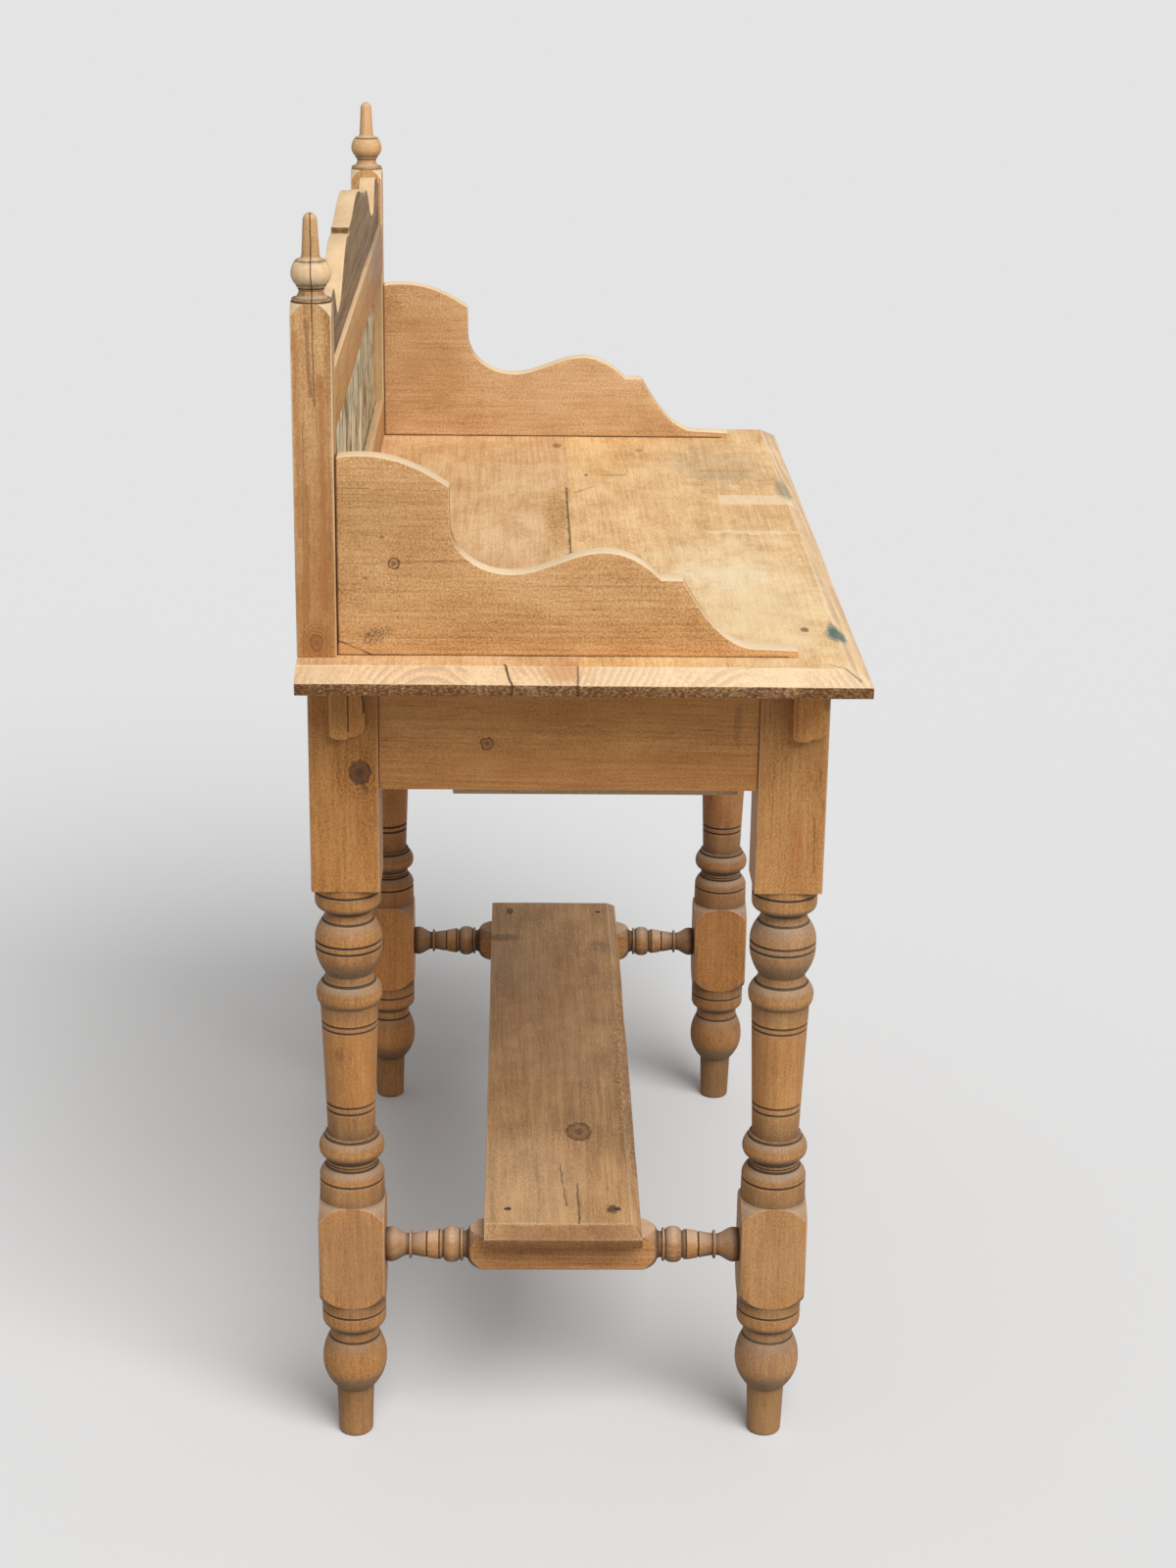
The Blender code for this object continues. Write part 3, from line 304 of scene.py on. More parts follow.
def pineCoat(name, **changes):
    # growth rings round a pith line, fibres along it, knots, end grain, wear, grime and marks, with a painted
    # highlight on faces that look up and painted shade on faces that look down
    look = {**pineHabit, **changes}
    coat = Coat(name)
    grain = look["grain"]
    seed = look["seed"]
    shift = (seed * 1.37, seed * 0.71, seed * 2.13)

    def drawn(across, along):
        # texture space drawn out along the grain
        scale = [across] * 3
        scale[grain] = along
        return coat.scaled(scale, shift)

    axes = coat.split(coat.here)
    along = axes[grain]
    cross = [axes[axis] for axis in range(3) if axis != grain]
    squares = []
    for wire, centre, lean in zip(cross, look["pith"], look["lean"]):
        offset = wire - along * lean - centre
        squares.append(offset * offset)
    run = drawn(1.0, 0.1)
    reach = (squares[0] + squares[1]) ** 0.5
    reach = reach + (coat.noise(run, grainScale["bend"]) - 0.5) * look["wave"]
    reach = reach + (coat.noise(run, grainScale["ripple"], 3.0) - 0.5) * (look["wave"] * 0.2)
    swirl = 0.0
    knotBody = 0.0
    knotRim = 0.0
    for knot in look["knots"]:
        far = coat.around(knot["at"], knot["size"])
        far = far + (coat.noise(coat.here, grainScale["knotEdge"], 3.0) - 0.5) * 0.7
        reach = reach + (1.0 - coat.rise(far, 0.6, 2.4)) * (look["spacing"] * 0.9)
        turns = (far * knotTurns).maths("FRACT", far * knotTurns)
        swirl = turns * (1.0 - coat.rise(far, 1.0, 3.4)) * knot["swirl"] + swirl
        knotBody = (1.0 - coat.rise(far, 0.85, 1.05)) * (knot["dark"] * (0.6 + 0.4 * turns)) + knotBody
        outline = coat.rise(far, 0.72, 0.9) * (1.0 - coat.rise(far, 0.95, 1.12))
        heart = 1.0 - coat.rise(far, 0.15, 0.5)
        grit = 0.4 + 1.2 * coat.noise(coat.here, grainScale["knotGrit"])
        knotRim = (outline + heart * 0.8) * (knot["rim"] * grit) + knotRim
    ring = (reach / look["spacing"]).maths("FRACT", reach / look["spacing"])
    late = coat.rise(ring, 0.15, 0.85) * (1.0 - coat.rise(ring, 0.88, 1.0))
    late = late * coat.rise(coat.noise(drawn(1.0, 0.25), grainScale["band"], 3.0), 0.38, 0.62)
    fibre = coat.noise(drawn(*grainScale["fibre"]), 1.0, 3.0, 0.65)
    streak = coat.noise(drawn(*grainScale["streak"]), 1.0, 3.0, 0.6)
    fleck = coat.rise(coat.noise(drawn(*grainScale["fleck"]), 1.0), 0.58, 0.72)
    mottle = coat.noise(drawn(1.0, 0.6), grainScale["mottle"], 5.0, 0.65)
    speck = coat.noise(coat.here, grainScale["speck"])
    facing = coat.split(coat.node("NewGeometry", out="Normal"))
    slope = coat.rise(facing[2], 0.6, 0.75) * (1.0 - coat.rise(facing[2], 0.93, 0.98))
    rings = late * (look["ringDepth"] + slope * look["slopeRings"])
    shade = look["shade"] + rings + fleck * look["fleckDepth"] + swirl
    for part, depth in ((fibre, "fibre"), (streak, "streak"), (mottle, "mottle"), (speck, "speck")):
        shade = shade + (part - 0.5) * look[depth + "Depth"]
    wood = [[share * tint for share, tint in zip(tone, look["tint"])] for tone in tones[look["tone"]]]
    colour = coat.node("ValToRGB", {"stops": list(zip(toneStops, wood))}, {0: shade})
    colour = coat.mix(slope * look["slopePale"], colour, slopeTone)
    # faces that look up go paler: partly dust and bleaching, partly a painted highlight
    upwardDustAndHighlight = coat.rise(facing[2], 0.25, 0.95) * (0.4 + 1.2 * mottle)
    colour = coat.mix(upwardDustAndHighlight * look["bleach"], colour, look["bleachTone"])
    rubbed = coat.node("Attribute", {"attribute_name": "wear"}, out="Fac")
    colour = coat.mix(rubbed * (look["wear"] * 2.0) * mottle, colour, look["bleachTone"])
    ends = coat.rise(abs(facing[grain]), 0.72, 0.96)
    endRun = [grainScale["endAcross"]] * 3
    endRun[look["endLies"]] = grainScale["endAlong"]
    rough = coat.noise(coat.scaled(endRun, shift), 1.0, 3.0, 0.7)
    endShare = (0.5 + 0.55 * coat.rise(rough, 0.25, 0.65) + (mottle - 0.5) * 0.6) * ends * look["endDark"]
    colour = coat.mix(endShare, colour, endGrainTone)
    height = fibre * 0.6 - late * 0.3 - fleck * 0.4 + ends * rough * 1.5
    roughness = look["roughness"] + (fibre - 0.5) * 0.25 + ends * 0.2
    if look["knots"]:
        colour = coat.mix(knotBody, colour, knotTone)
        colour = coat.mix(knotRim, colour, knotEdge)
    # hollows get dirt; faces that look down get a painted shade in the hand-dirt tone
    if look["grime"]:
        hollow = coat.node("Attribute", {"attribute_name": "grime"}, out="Fac")
        paintedUnderShade = coat.rise(0.0 - facing[2], 0.05, 0.7) * 0.45
        colour = coat.mix(coat.rise(hollow, 0.0, 0.3) * (0.18 + 0.4 * mottle + paintedUnderShade), colour, handDirtAndUnderShadeTone)
        colour = coat.mix(coat.rise(hollow, 0.3, 1.0) * (0.62 + 0.5 * mottle), colour, grimeTone)
        roughness = roughness + hollow * 0.2
    for mark in look["marks"]:
        mask = lineMask(coat, mark) if "start" in mark else spotMask(coat, mark)
        colour = coat.mix(mask * mark["amount"], colour, mark["colour"])
        height = height - mask * mark["sunk"]
    return coat.finish(colour, roughness, height, look["bumpDepth"], look["shine"])


def camelName(node):
    first, *rest = node.split("_")
    return first + "".join(word.capitalize() for word in rest)


def showPiece(node, shape, material, sharper=34.0):
    # the shape stands for its CAD node, and moves with that node's body
    bmesh.ops.recalc_face_normals(shape, faces=shape.faces[:])
    for face in shape.faces:
        face.smooth = True
    for edge in shape.edges:
        edge.smooth = edge.calc_face_angle(0.0) < math.radians(sharper)
    name = camelName(node)
    mesh = bpy.data.meshes.new(name)
    shape.to_mesh(mesh)
    shape.free()
    mesh.materials.append(material)
    piece = bpy.data.objects.new(name, mesh)
    bpy.context.scene.collection.objects.link(piece)
    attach(piece, frame["nodes"][node]["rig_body"])
    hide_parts(node)


def showPine(node, shape, sharper=34.0, **look):
    showPiece(node, shape, pineCoat(camelName(node) + "Wood", **look), sharper)


def moveBy(shape, step):
    bmesh.ops.translate(shape, vec=step, verts=shape.verts[:])


def layDown(shape):
    # turns a shape made upright to lie along Y
    turn = Matrix.Rotation(math.pi / 2, 3, "X")
    bmesh.ops.rotate(shape, cent=(0.0, 0.0, 0.0), matrix=turn, verts=shape.verts[:])


closeDist = 1e-6  # points nearer than this count as one
flatFace = 0.999  # least share of a face's normal along X or Y on a squared block


def everything(shape):
    return shape.verts[:] + shape.edges[:] + shape.faces[:]


def rubEdges(shape, edges, amount, segments):
    # rounds edges over and notes their new faces as rubbed
    wear = shape.loops.layers.float.get("wear") or shape.loops.layers.float.new("wear")
    made = bmesh.ops.bevel(
        shape,
        geom=edges,
        offset=amount,
        offset_type="OFFSET",
        segments=segments,
        profile=0.5,
        affect="EDGES",
        clamp_overlap=True,
        material=-1,
    )
    for face in made["faces"]:
        for loop in face.loops:
            loop[wear] = 1.0


def softenEdges(shape, amount, sharper=30.0, segments=2):
    bmesh.ops.recalc_face_normals(shape, faces=shape.faces[:])
    limit = math.radians(sharper)
    rubEdges(shape, [edge for edge in shape.edges if edge.calc_face_angle(0.0) > limit], amount, segments)


def loosen(shape, step, amount, seed):
    # cuts a board into short lengths and shifts their corners a little, as in planed old stock
    for axis in range(3):
        places = [vert.co[axis] for vert in shape.verts]
        low = min(places)
        count = int((max(places) - low) / step)
        normal = Vector([1.0 if axis == index else 0.0 for index in range(3)])
        for index in range(1, count + 1):
            cut = normal * (low + (max(places) - low) * index / (count + 1))
            bmesh.ops.bisect_plane(
                shape, geom=everything(shape), dist=closeDist, plane_co=cut, plane_no=normal
            )
    for vert in shape.verts:
        vert.co += noise.noise_vector(vert.co * 11.0 + Vector((seed, seed, seed))) * amount


def curvePoint(kind, t, grows):
    quarter = t * math.pi / 2
    quick = (1 - math.cos(quarter), math.sin(quarter))
    slow = (math.sin(quarter), 1 - math.cos(quarter))
    if kind == "round":
        return quick if grows else slow
    if kind == "hollow":
        return slow if grows else quick
    if kind == "ogee":
        return t, (1 - math.cos(math.pi * t)) / 2
    if kind == "fall":
        return t, t * t
    if kind == "settle":
        return t, 1 - (1 - t) ** 2
    if kind == "arch":
        return t, t ** (2 / 3) if grows else 1 - (1 - t) ** (2 / 3)
    return t, t


def mouldings(startSize, start, rows, steps=9):
    # each row carries the size from where it is to its end size, along its length
    size, along = startSize, start
    points = [(size, along)]
    for kind, length, endSize in rows:
        count = 1 if kind == "line" else steps
        for index in range(1, count + 1):
            part, rise = curvePoint(kind, index / count, endSize > size)
            points.append((size + (endSize - size) * rise, along + length * part))
        size, along = endSize, along + length
    return points


def sizeAt(points, along):
    for (firstSize, first), (lastSize, last) in zip(points, points[1:]):
        if first <= along <= last and last > first:
            return firstSize + (lastSize - firstSize) * (along - first) / (last - first)
    return points[-1][0]


def carve(points, lines):
    # fine lines cut with the corner of a chisel: place, width and depth
    for place, width, depth in lines:
        before = [point for point in points if point[1] < place - width / 2]
        after = [point for point in points if point[1] > place + width / 2]
        notch = []
        for index in range(7):
            across = index / 3 - 1
            along = place + across * width / 2
            notch.append((sizeAt(points, along) - depth * (1 - across * across), along))
        points = before + notch + after
    return points


def withGrime(points, lines, window=0.004, full=0.008, handled=0.3):
    # mouldings are grubbier than straight lengths, most of all where they lie low
    profile = []
    for size, along in points:
        near = [other for other, place in points if abs(place - along) <= window]
        inLine = any(abs(along - place) < width * 0.45 for place, width, depth in lines)
        dirt = 1.0 if inLine else min(1.0, (max(near) - size) / full)
        base = handled if max(near) - min(near) > 0.0018 else handled * 0.4
        profile.append((size, along, base + (1.0 - base) * dirt))
    return profile


def turnShape(profile, segments, side=None):
    # the profile is radius, height and grime; its blocks are cut square to the stock's side
    shape = bmesh.new()
    grime = shape.verts.layers.float.new("grime")
    verts = []
    for radius, height, dirt in profile:
        vert = shape.verts.new((radius, 0.0, height))
        vert[grime] = dirt
        verts.append(vert)
    edges = [shape.edges.new(pair) for pair in zip(verts, verts[1:])]
    bmesh.ops.spin(
        shape,
        geom=verts + edges,
        cent=(0.0, 0.0, 0.0),
        axis=(0.0, 0.0, 1.0),
        angle=2 * math.pi,
        steps=segments,
        use_merge=True,
    )
    bmesh.ops.remove_doubles(shape, verts=shape.verts[:], dist=closeDist)
    if side:
        squareBlocks(shape, side, grime)
    return shape


def squareBlocks(shape, side, grime, arris=0.0014):
    for normal in ((1, 0, 0), (-1, 0, 0), (0, 1, 0), (0, -1, 0)):
        plane = Vector(normal)
        cut = bmesh.ops.bisect_plane(
            shape,
            geom=everything(shape),
            dist=1e-7,
            plane_co=plane * side / 2,
            plane_no=plane,
            clear_outer=True,
        )
        rim = [item for item in cut["geom_cut"] if isinstance(item, bmesh.types.BMEdge)]
        bmesh.ops.edgeloop_fill(shape, edges=rim)
    bmesh.ops.recalc_face_normals(shape, faces=shape.faces[:])
    for vert in shape.verts:
        if max(abs(vert.co.x), abs(vert.co.y)) > side / 2 - closeDist:
            vert[grime] = 0.0
    corners = []
    for edge in shape.edges:
        normals = [face.normal for face in edge.link_faces]
        flat = [max(abs(normal.x), abs(normal.y)) > flatFace for normal in normals]
        if len(normals) == 2 and all(flat) and edge.calc_face_angle(0.0) > 1.0:
            corners.append(edge)
    rubEdges(shape, corners, arris, 2)


def boxMiddle(node):
    low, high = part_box(node)
    return (low + high) / 2


legTurning = {
    "segments": 64,
    "side": 0.058,
    "blockBottom": 0.54,
    "lowerTop": 0.24,
    "lowerBottom": 0.14,
    "shoulder": 0.0202,
    "blockRadius": 0.0435,
    "cupRadius": 0.0284,
    "upper": [
        ("line", 0.017, 0.0282), ("round", 0.006, 0.024), ("hollow", 0.0055, 0.0195),
        ("line", 0.0055, 0.0218), ("settle", 0.0185, 0.0288), ("line", 0.006, 0.0288),
        ("fall", 0.0245, 0.021), ("hollow", 0.0035, 0.0203), ("line", 0.0045, 0.0226),
        ("settle", 0.0115, 0.0285), ("round", 0.0085, 0.0257), ("line", 0.0005, 0.0252),
    ],
    "columnEnd": 0.0207,
    "lower": [
        ("line", 0.0006, 0.0232), ("line", 0.0018, 0.0236), ("settle", 0.0115, 0.0288),
        ("round", 0.007, 0.0246), ("hollow", 0.0048, 0.022), ("line", 0.005, 0.0226),
        ("settle", 0.011, 0.0286), ("line", 0.0213, 0.0288),
    ],
    "foot": [
        ("line", 0.0205, 0.0286), ("round", 0.0055, 0.0262), ("hollow", 0.0075, 0.0221),
        ("line", 0.0058, 0.0226), ("settle", 0.0225, 0.0288), ("line", 0.003, 0.0288),
        ("fall", 0.0265, 0.0178), ("line", 0.0008, 0.0168),
    ],
    "footEnd": 0.0154,
    "footRounding": 0.003,
    "lines": [
        (0.008, 0.0028, 0.0014), (0.0343, 0.0022, 0.0011), (0.053, 0.003, 0.0016),
        (0.059, 0.003, 0.0016), (0.0912, 0.0022, 0.0011), (0.129, 0.003, 0.0016),
        (0.1342, 0.003, 0.0016), (0.2067, 0.003, 0.0016), (0.2129, 0.003, 0.0016),
        (0.2395, 0.0022, 0.0011), (0.262, 0.0018, 0.0008), (0.265, 0.0018, 0.0008),
        (0.2677, 0.002, 0.001), (0.2807, 0.0028, 0.0014), (0.4116, 0.0028, 0.0014),
        (0.4393, 0.0022, 0.0011),
    ],
}
# dust and rubbed wear on turnings, also used for the painted highlight on faces that look up
dustWearAndHighlightTone = (0.78, 0.63, 0.49)
legWoods = {
    "leg_front_left": dict(seed=1.0, tint=(0.94, 0.93, 0.88), pith=(-0.42, -0.12), lean=(0.02, 0.04), marks=(
        spot((-0.36, -0.177, 0.375), (0.05, 0.05, 0.055), 0.15, (0.7, 0.32, 0.095), core=0.5,
            grit=40.0),
        spot((-0.38, -0.177, 0.19), (0.02, 0.05, 0.06), 0.18, (0.34, 0.25, 0.17), core=0.5, grit=40.0),
        # painted light: the pale patch lightens the foot
        spot((-0.36, -0.177, 0.022), (0.05, 0.05, 0.04), 0.18, (0.66, 0.36, 0.14), core=0.4, grit=60.0),
        spot((-0.36, -0.177, 0.49), (0.05, 0.05, 0.028), 0.16, (0.26, 0.23, 0.2), core=0.4, grit=60.0),
        spot((-0.36, -0.177, 0.085), (0.05, 0.05, 0.028), 0.16, (0.3, 0.27, 0.24), core=0.4, grit=60.0),
        line((-0.38, -0.196, 0.612), (-0.38, -0.198, 0.56), 0.0012, 0.45, grimeTone),
        spot((-0.38, -0.182, 0.585), (0.01, 0.006, 0.035), 0.35, (0.42, 0.14, 0.04), grit=90.0),
        # painted shadow: the dark patch beside the corbel stands for the corbel's shadow on the leg
        spot((-0.38, -0.17, 0.726), (0.02, 0.016, 0.034), 0.5, (0.15, 0.06, 0.02), grit=60.0, core=0.2),
    )),
    "leg_back_left": dict(seed=2.0, tint=(0.91, 0.85, 0.72), pith=(-0.3, 0.26), lean=(0.03, 0.02), knots=(
        knotAt((-0.38, 0.1835, 0.647), (0.06, 0.0088, 0.0104), 0.95, 0.8, swirl=0.4),
        knotAt((-0.376, 0.205, 0.385), (0.02, 0.004, 0.005), 0.5, 0.4),
    ), marks=(
        spot((-0.36, 0.197, 0.375), (0.05, 0.05, 0.055), 0.12, (0.7, 0.31, 0.09), core=0.5, grit=40.0),
        spot((-0.38, 0.197, 0.19), (0.02, 0.05, 0.06), 0.3, (0.31, 0.215, 0.145), core=0.5, grit=40.0),
        spot((-0.38, 0.1838, 0.6465), (0.02, 0.0092, 0.0102), 0.65, (0.085, 0.036, 0.016), ragged=0.5,
            core=0.3),
        line((-0.38, 0.183, 0.64), (-0.38, 0.179, 0.632), 0.004, 0.55, (0.11, 0.05, 0.022)),
    )),
    # painted shade and light: leg_front_right is tinted darker and leg_back_right paler and warmer, standing
    # in for how differently the two far legs are lit
    "leg_front_right": dict(seed=3.0, tint=(0.76, 0.68, 0.6), pith=(0.3, -0.25), lean=(-0.02, 0.03)),
    "leg_back_right": dict(seed=4.0, tint=(1.14, 0.99, 0.84), pith=(0.42, 0.14), lean=(0.02, -0.03)),
}


def legProfile(top):
    t = legTurning
    column = t["blockBottom"] - t["lowerTop"] - sum(row[1] for row in t["upper"] + t["lower"])
    foot = t["lowerBottom"] - t["footRounding"] - sum(row[1] for row in t["foot"])
    lowerBlock = t["lowerTop"] - t["lowerBottom"] - 2 * t["shoulder"]
    rows = t["upper"] + [("line", column, t["columnEnd"])] + t["lower"]
    rows = rows + [
        ("arch", t["shoulder"], t["blockRadius"]),
        ("line", lowerBlock, t["blockRadius"]),
        ("arch", t["shoulder"], t["lower"][-1][2]),
    ]
    rows = rows + t["foot"] + [
        ("line", foot, t["footEnd"]),
        ("round", t["footRounding"], t["footEnd"] - t["footRounding"]),
    ]
    points = carve(mouldings(t["cupRadius"], 0.0, rows), t["lines"])
    turned = [(size, t["blockBottom"] - along, dirt) for size, along, dirt in withGrime(points, t["lines"])]
    block = [(0.0, top, 0.0), (t["blockRadius"], top, 0.0), (t["blockRadius"], t["blockBottom"], 0.0)]
    return block + turned + [(0.0, 0.0, 0.5)]


def makeLegs():
    for node, wood in legWoods.items():
        low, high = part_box(node)
        shape = turnShape(legProfile(high.z), legTurning["segments"], legTurning["side"])
        middle = (low + high) / 2
        moveBy(shape, (middle.x, middle.y, 0.0))
        showPine(
            node, shape, grain=2, tone="turned", grime=True, ringDepth=0.05, bleach=0.62,
            bleachTone=dustWearAndHighlightTone, **wood
        )
    print("legs turned")


makeLegs()

stretcherTurning = {
    "segments": 48,
    "side": 0.034,
    "blockRadius": 0.0255,
    "blockHalf": 0.068,
    "rows": [
        ("arch", 0.016, 0.015), ("hollow", 0.0045, 0.0115), ("line", 0.0006, 0.0146),
        ("round", 0.002, 0.015), ("line", 0.0006, 0.0125), ("round", 0.0075, 0.0162),
        ("round", 0.0075, 0.0115), ("line", 0.003, 0.014), ("line", 0.0245, 0.0097),
        ("line", 0.0006, 0.0122), ("round", 0.002, 0.0128), ("line", 0.0006, 0.0095),
    ],
    "collar": 0.0155,
    "collarCurve": 0.75,  # share of the collar that swells
    "collarEnd": 0.0142,
    "legDirt": 0.013,  # length of collar drawn darker towards the leg
    "lines": [(0.1103, 0.0016, 0.0008), (0.1214, 0.0018, 0.0009)],
}


def makeStretchers():
    t = stretcherTurning
    for node, seed in (("end_stretcher_left", 5.0), ("end_stretcher_right", 6.0)):
        side = node.split("_")[-1]
        reach = (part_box("leg_back_" + side)[0].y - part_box("leg_front_" + side)[1].y) / 2
        collar = reach - t["blockHalf"] - sum(row[1] for row in t["rows"])
        curve = collar * t["collarCurve"]
        rows = [("line", t["blockHalf"], t["blockRadius"])] + t["rows"]
        rows = rows + [("ogee", curve, t["collar"]), ("round", collar - curve, t["collarEnd"])]
        points = carve(mouldings(t["blockRadius"], 0.0, rows, 7), t["lines"])
        half = []
        for size, along, dirt in withGrime(points, t["lines"], full=0.006)[1:]:
            half.append((size, along, max(dirt, 1.0 - (reach - along) / t["legDirt"])))
        profile = [(0.0, reach, 0.5)] + half[::-1] + [(size, -along, dirt) for size, along, dirt in half]
        shape = turnShape(profile + [(0.0, -reach, 0.5)], t["segments"], t["side"])
        layDown(shape)
        middle = boxMiddle(node)
        moveBy(shape, middle)
        showPine(
            node, shape, grain=1, tone="turned", grime=True, seed=seed, bleach=0.4, bleachTone=dustWearAndHighlightTone,
            pith=(middle.x + 0.03, middle.z - 0.05), spacing=0.0034, endDark=0.4, tint=(0.93, 0.92, 0.96),
        )
    print("stretchers turned")


makeStretchers()

postTurning = {
    "segments": 56,
    "side": 0.032,
    "blockRadius": 0.024,
    "shoulder": 0.0155,
    "finial": [
        ("round", 0.006, 0.0056), ("line", 0.0255, 0.007), ("hollow", 0.0043, 0.0118),
        ("settle", 0.0107, 0.0158), ("fall", 0.008, 0.0125), ("line", 0.003, 0.0108),
        ("line", 0.0017, 0.0098), ("hollow", 0.0061, 0.0153), ("round", 0.0014, 0.0155),
    ],
    "lines": [
        (0.0365, 0.0014, 0.0008), (0.0545, 0.0014, 0.0007), (0.0573, 0.0014, 0.0007),
        (0.0672, 0.0012, 0.0006),
    ],
}
postWoods = {
    "back_post_left": dict(seed=7.0, pith=(-0.4, 0.245), knots=(
        knotAt((-0.424, 0.214, 0.772), (0.05, 0.005, 0.007), 0.6, 0.8, swirl=1.3),
        knotAt((-0.424, 0.214, 1.064), (0.05, 0.0045, 0.0042), 0.0, 0.1, swirl=0.35),
    ), marks=onFace(0, -0.424, (
        spot((-0.408, 0.214, 1.096), (0.05, 0.05, 0.022), 0.26, (0.82, 0.52, 0.27), core=0.6),
        spot((-0.408, 0.214, 1.065), (0.05, 0.05, 0.012), 0.58, (1.0, 0.75, 0.46), core=0.5),
        line((0.2137, 1.11), (0.2128, 1.03), 0.0009, 0.85, grimeTone, through=0, wander=0.0015,
            sunk=0.6),
        line((0.2128, 1.03), (0.212, 0.964), 0.0009, 0.6, grimeTone, through=0, wander=0.0015,
            sunk=0.4),
        line((0.2175, 1.03), (0.215, 0.972), 0.0026, 0.5, knotTone, wander=0.003),
        line((0.2215, 0.95), (0.2235, 0.778), 0.001, 0.5, knotTone, wander=0.002),
        line((0.202, 1.01), (0.2015, 0.84), 0.0016, 0.35, knotTone, wander=0.003),
        line((0.207, 0.985), (0.2062, 0.8), 0.005, 0.6, (0.4, 0.15, 0.045), through=0, wander=0.006),
        line((0.2262, 1.02), (0.225, 0.86), 0.004, 0.5, (0.38, 0.15, 0.045), through=0, wander=0.005),
        line((0.219, 0.9), (0.221, 0.79), 0.003, 0.6, (0.36, 0.13, 0.04), through=0, wander=0.005),
        spot((-0.41, 0.214, 0.79), (0.05, 0.05, 0.19), 0.6, (0.36, 0.145, 0.04), grit=30.0, core=0.2),
    ))),
    "back_post_right": dict(seed=8.0, pith=(0.45, 0.25), marks=(
        spot((0.408, 0.214, 1.085), (0.05, 0.05, 0.05), 0.3, (0.86, 0.56, 0.31), core=0.6),
        spot((0.392, 0.2, 0.86), (0.004, 0.05, 0.13), 0.5, (0.42, 0.36, 0.21), core=0.4),
    )),
}


def makePosts():
    t = postTurning
    for node, wood in postWoods.items():
        low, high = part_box(node)
        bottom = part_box("lower_back_rail")[0].z
        square = high.z - bottom - t["shoulder"] - sum(row[1] for row in t["finial"])
        rows = t["finial"] + [("arch", t["shoulder"], t["blockRadius"]), ("line", square, t["blockRadius"])]
        points = carve(mouldings(0.0, 0.0, rows), t["lines"])
        dirty = withGrime(points, t["lines"], 0.003, 0.016, 0.1)
        profile = [(size, high.z - along, dirt) for size, along, dirt in dirty]
        shape = turnShape(profile + [(0.0, bottom, 0.0)], t["segments"], t["side"])
        wear = shape.loops.layers.float["wear"]
        for face in shape.faces:
            onFlat = max(abs(face.normal.x), abs(face.normal.y)) > flatFace
            if not onFlat and 0.0 < face.calc_center_median().z - bottom - square < t["shoulder"]:
                for loop in face.loops:
                    loop[wear] = 1.0
        middle = (low + high) / 2
        moveBy(shape, (middle.x, middle.y, 0.0))
        showPine(
            node, shape, grain=2, tone="waxed", grime=True, lean=(0.03, -0.02), spacing=0.0055,
            ringDepth=0.42, bleach=0.6, wear=0.7, **wood
        )
    print("posts turned")


makePosts()


def outlineShape(points, depth):
    # a flat outline drawn out into a board
    shape = bmesh.new()
    face = shape.faces.new([shape.verts.new(point) for point in points])
    drawn = bmesh.ops.extrude_face_region(shape, geom=[face])
    moved = [item for item in drawn["geom"] if isinstance(item, bmesh.types.BMVert)]
    bmesh.ops.translate(shape, vec=depth, verts=moved)
    return shape


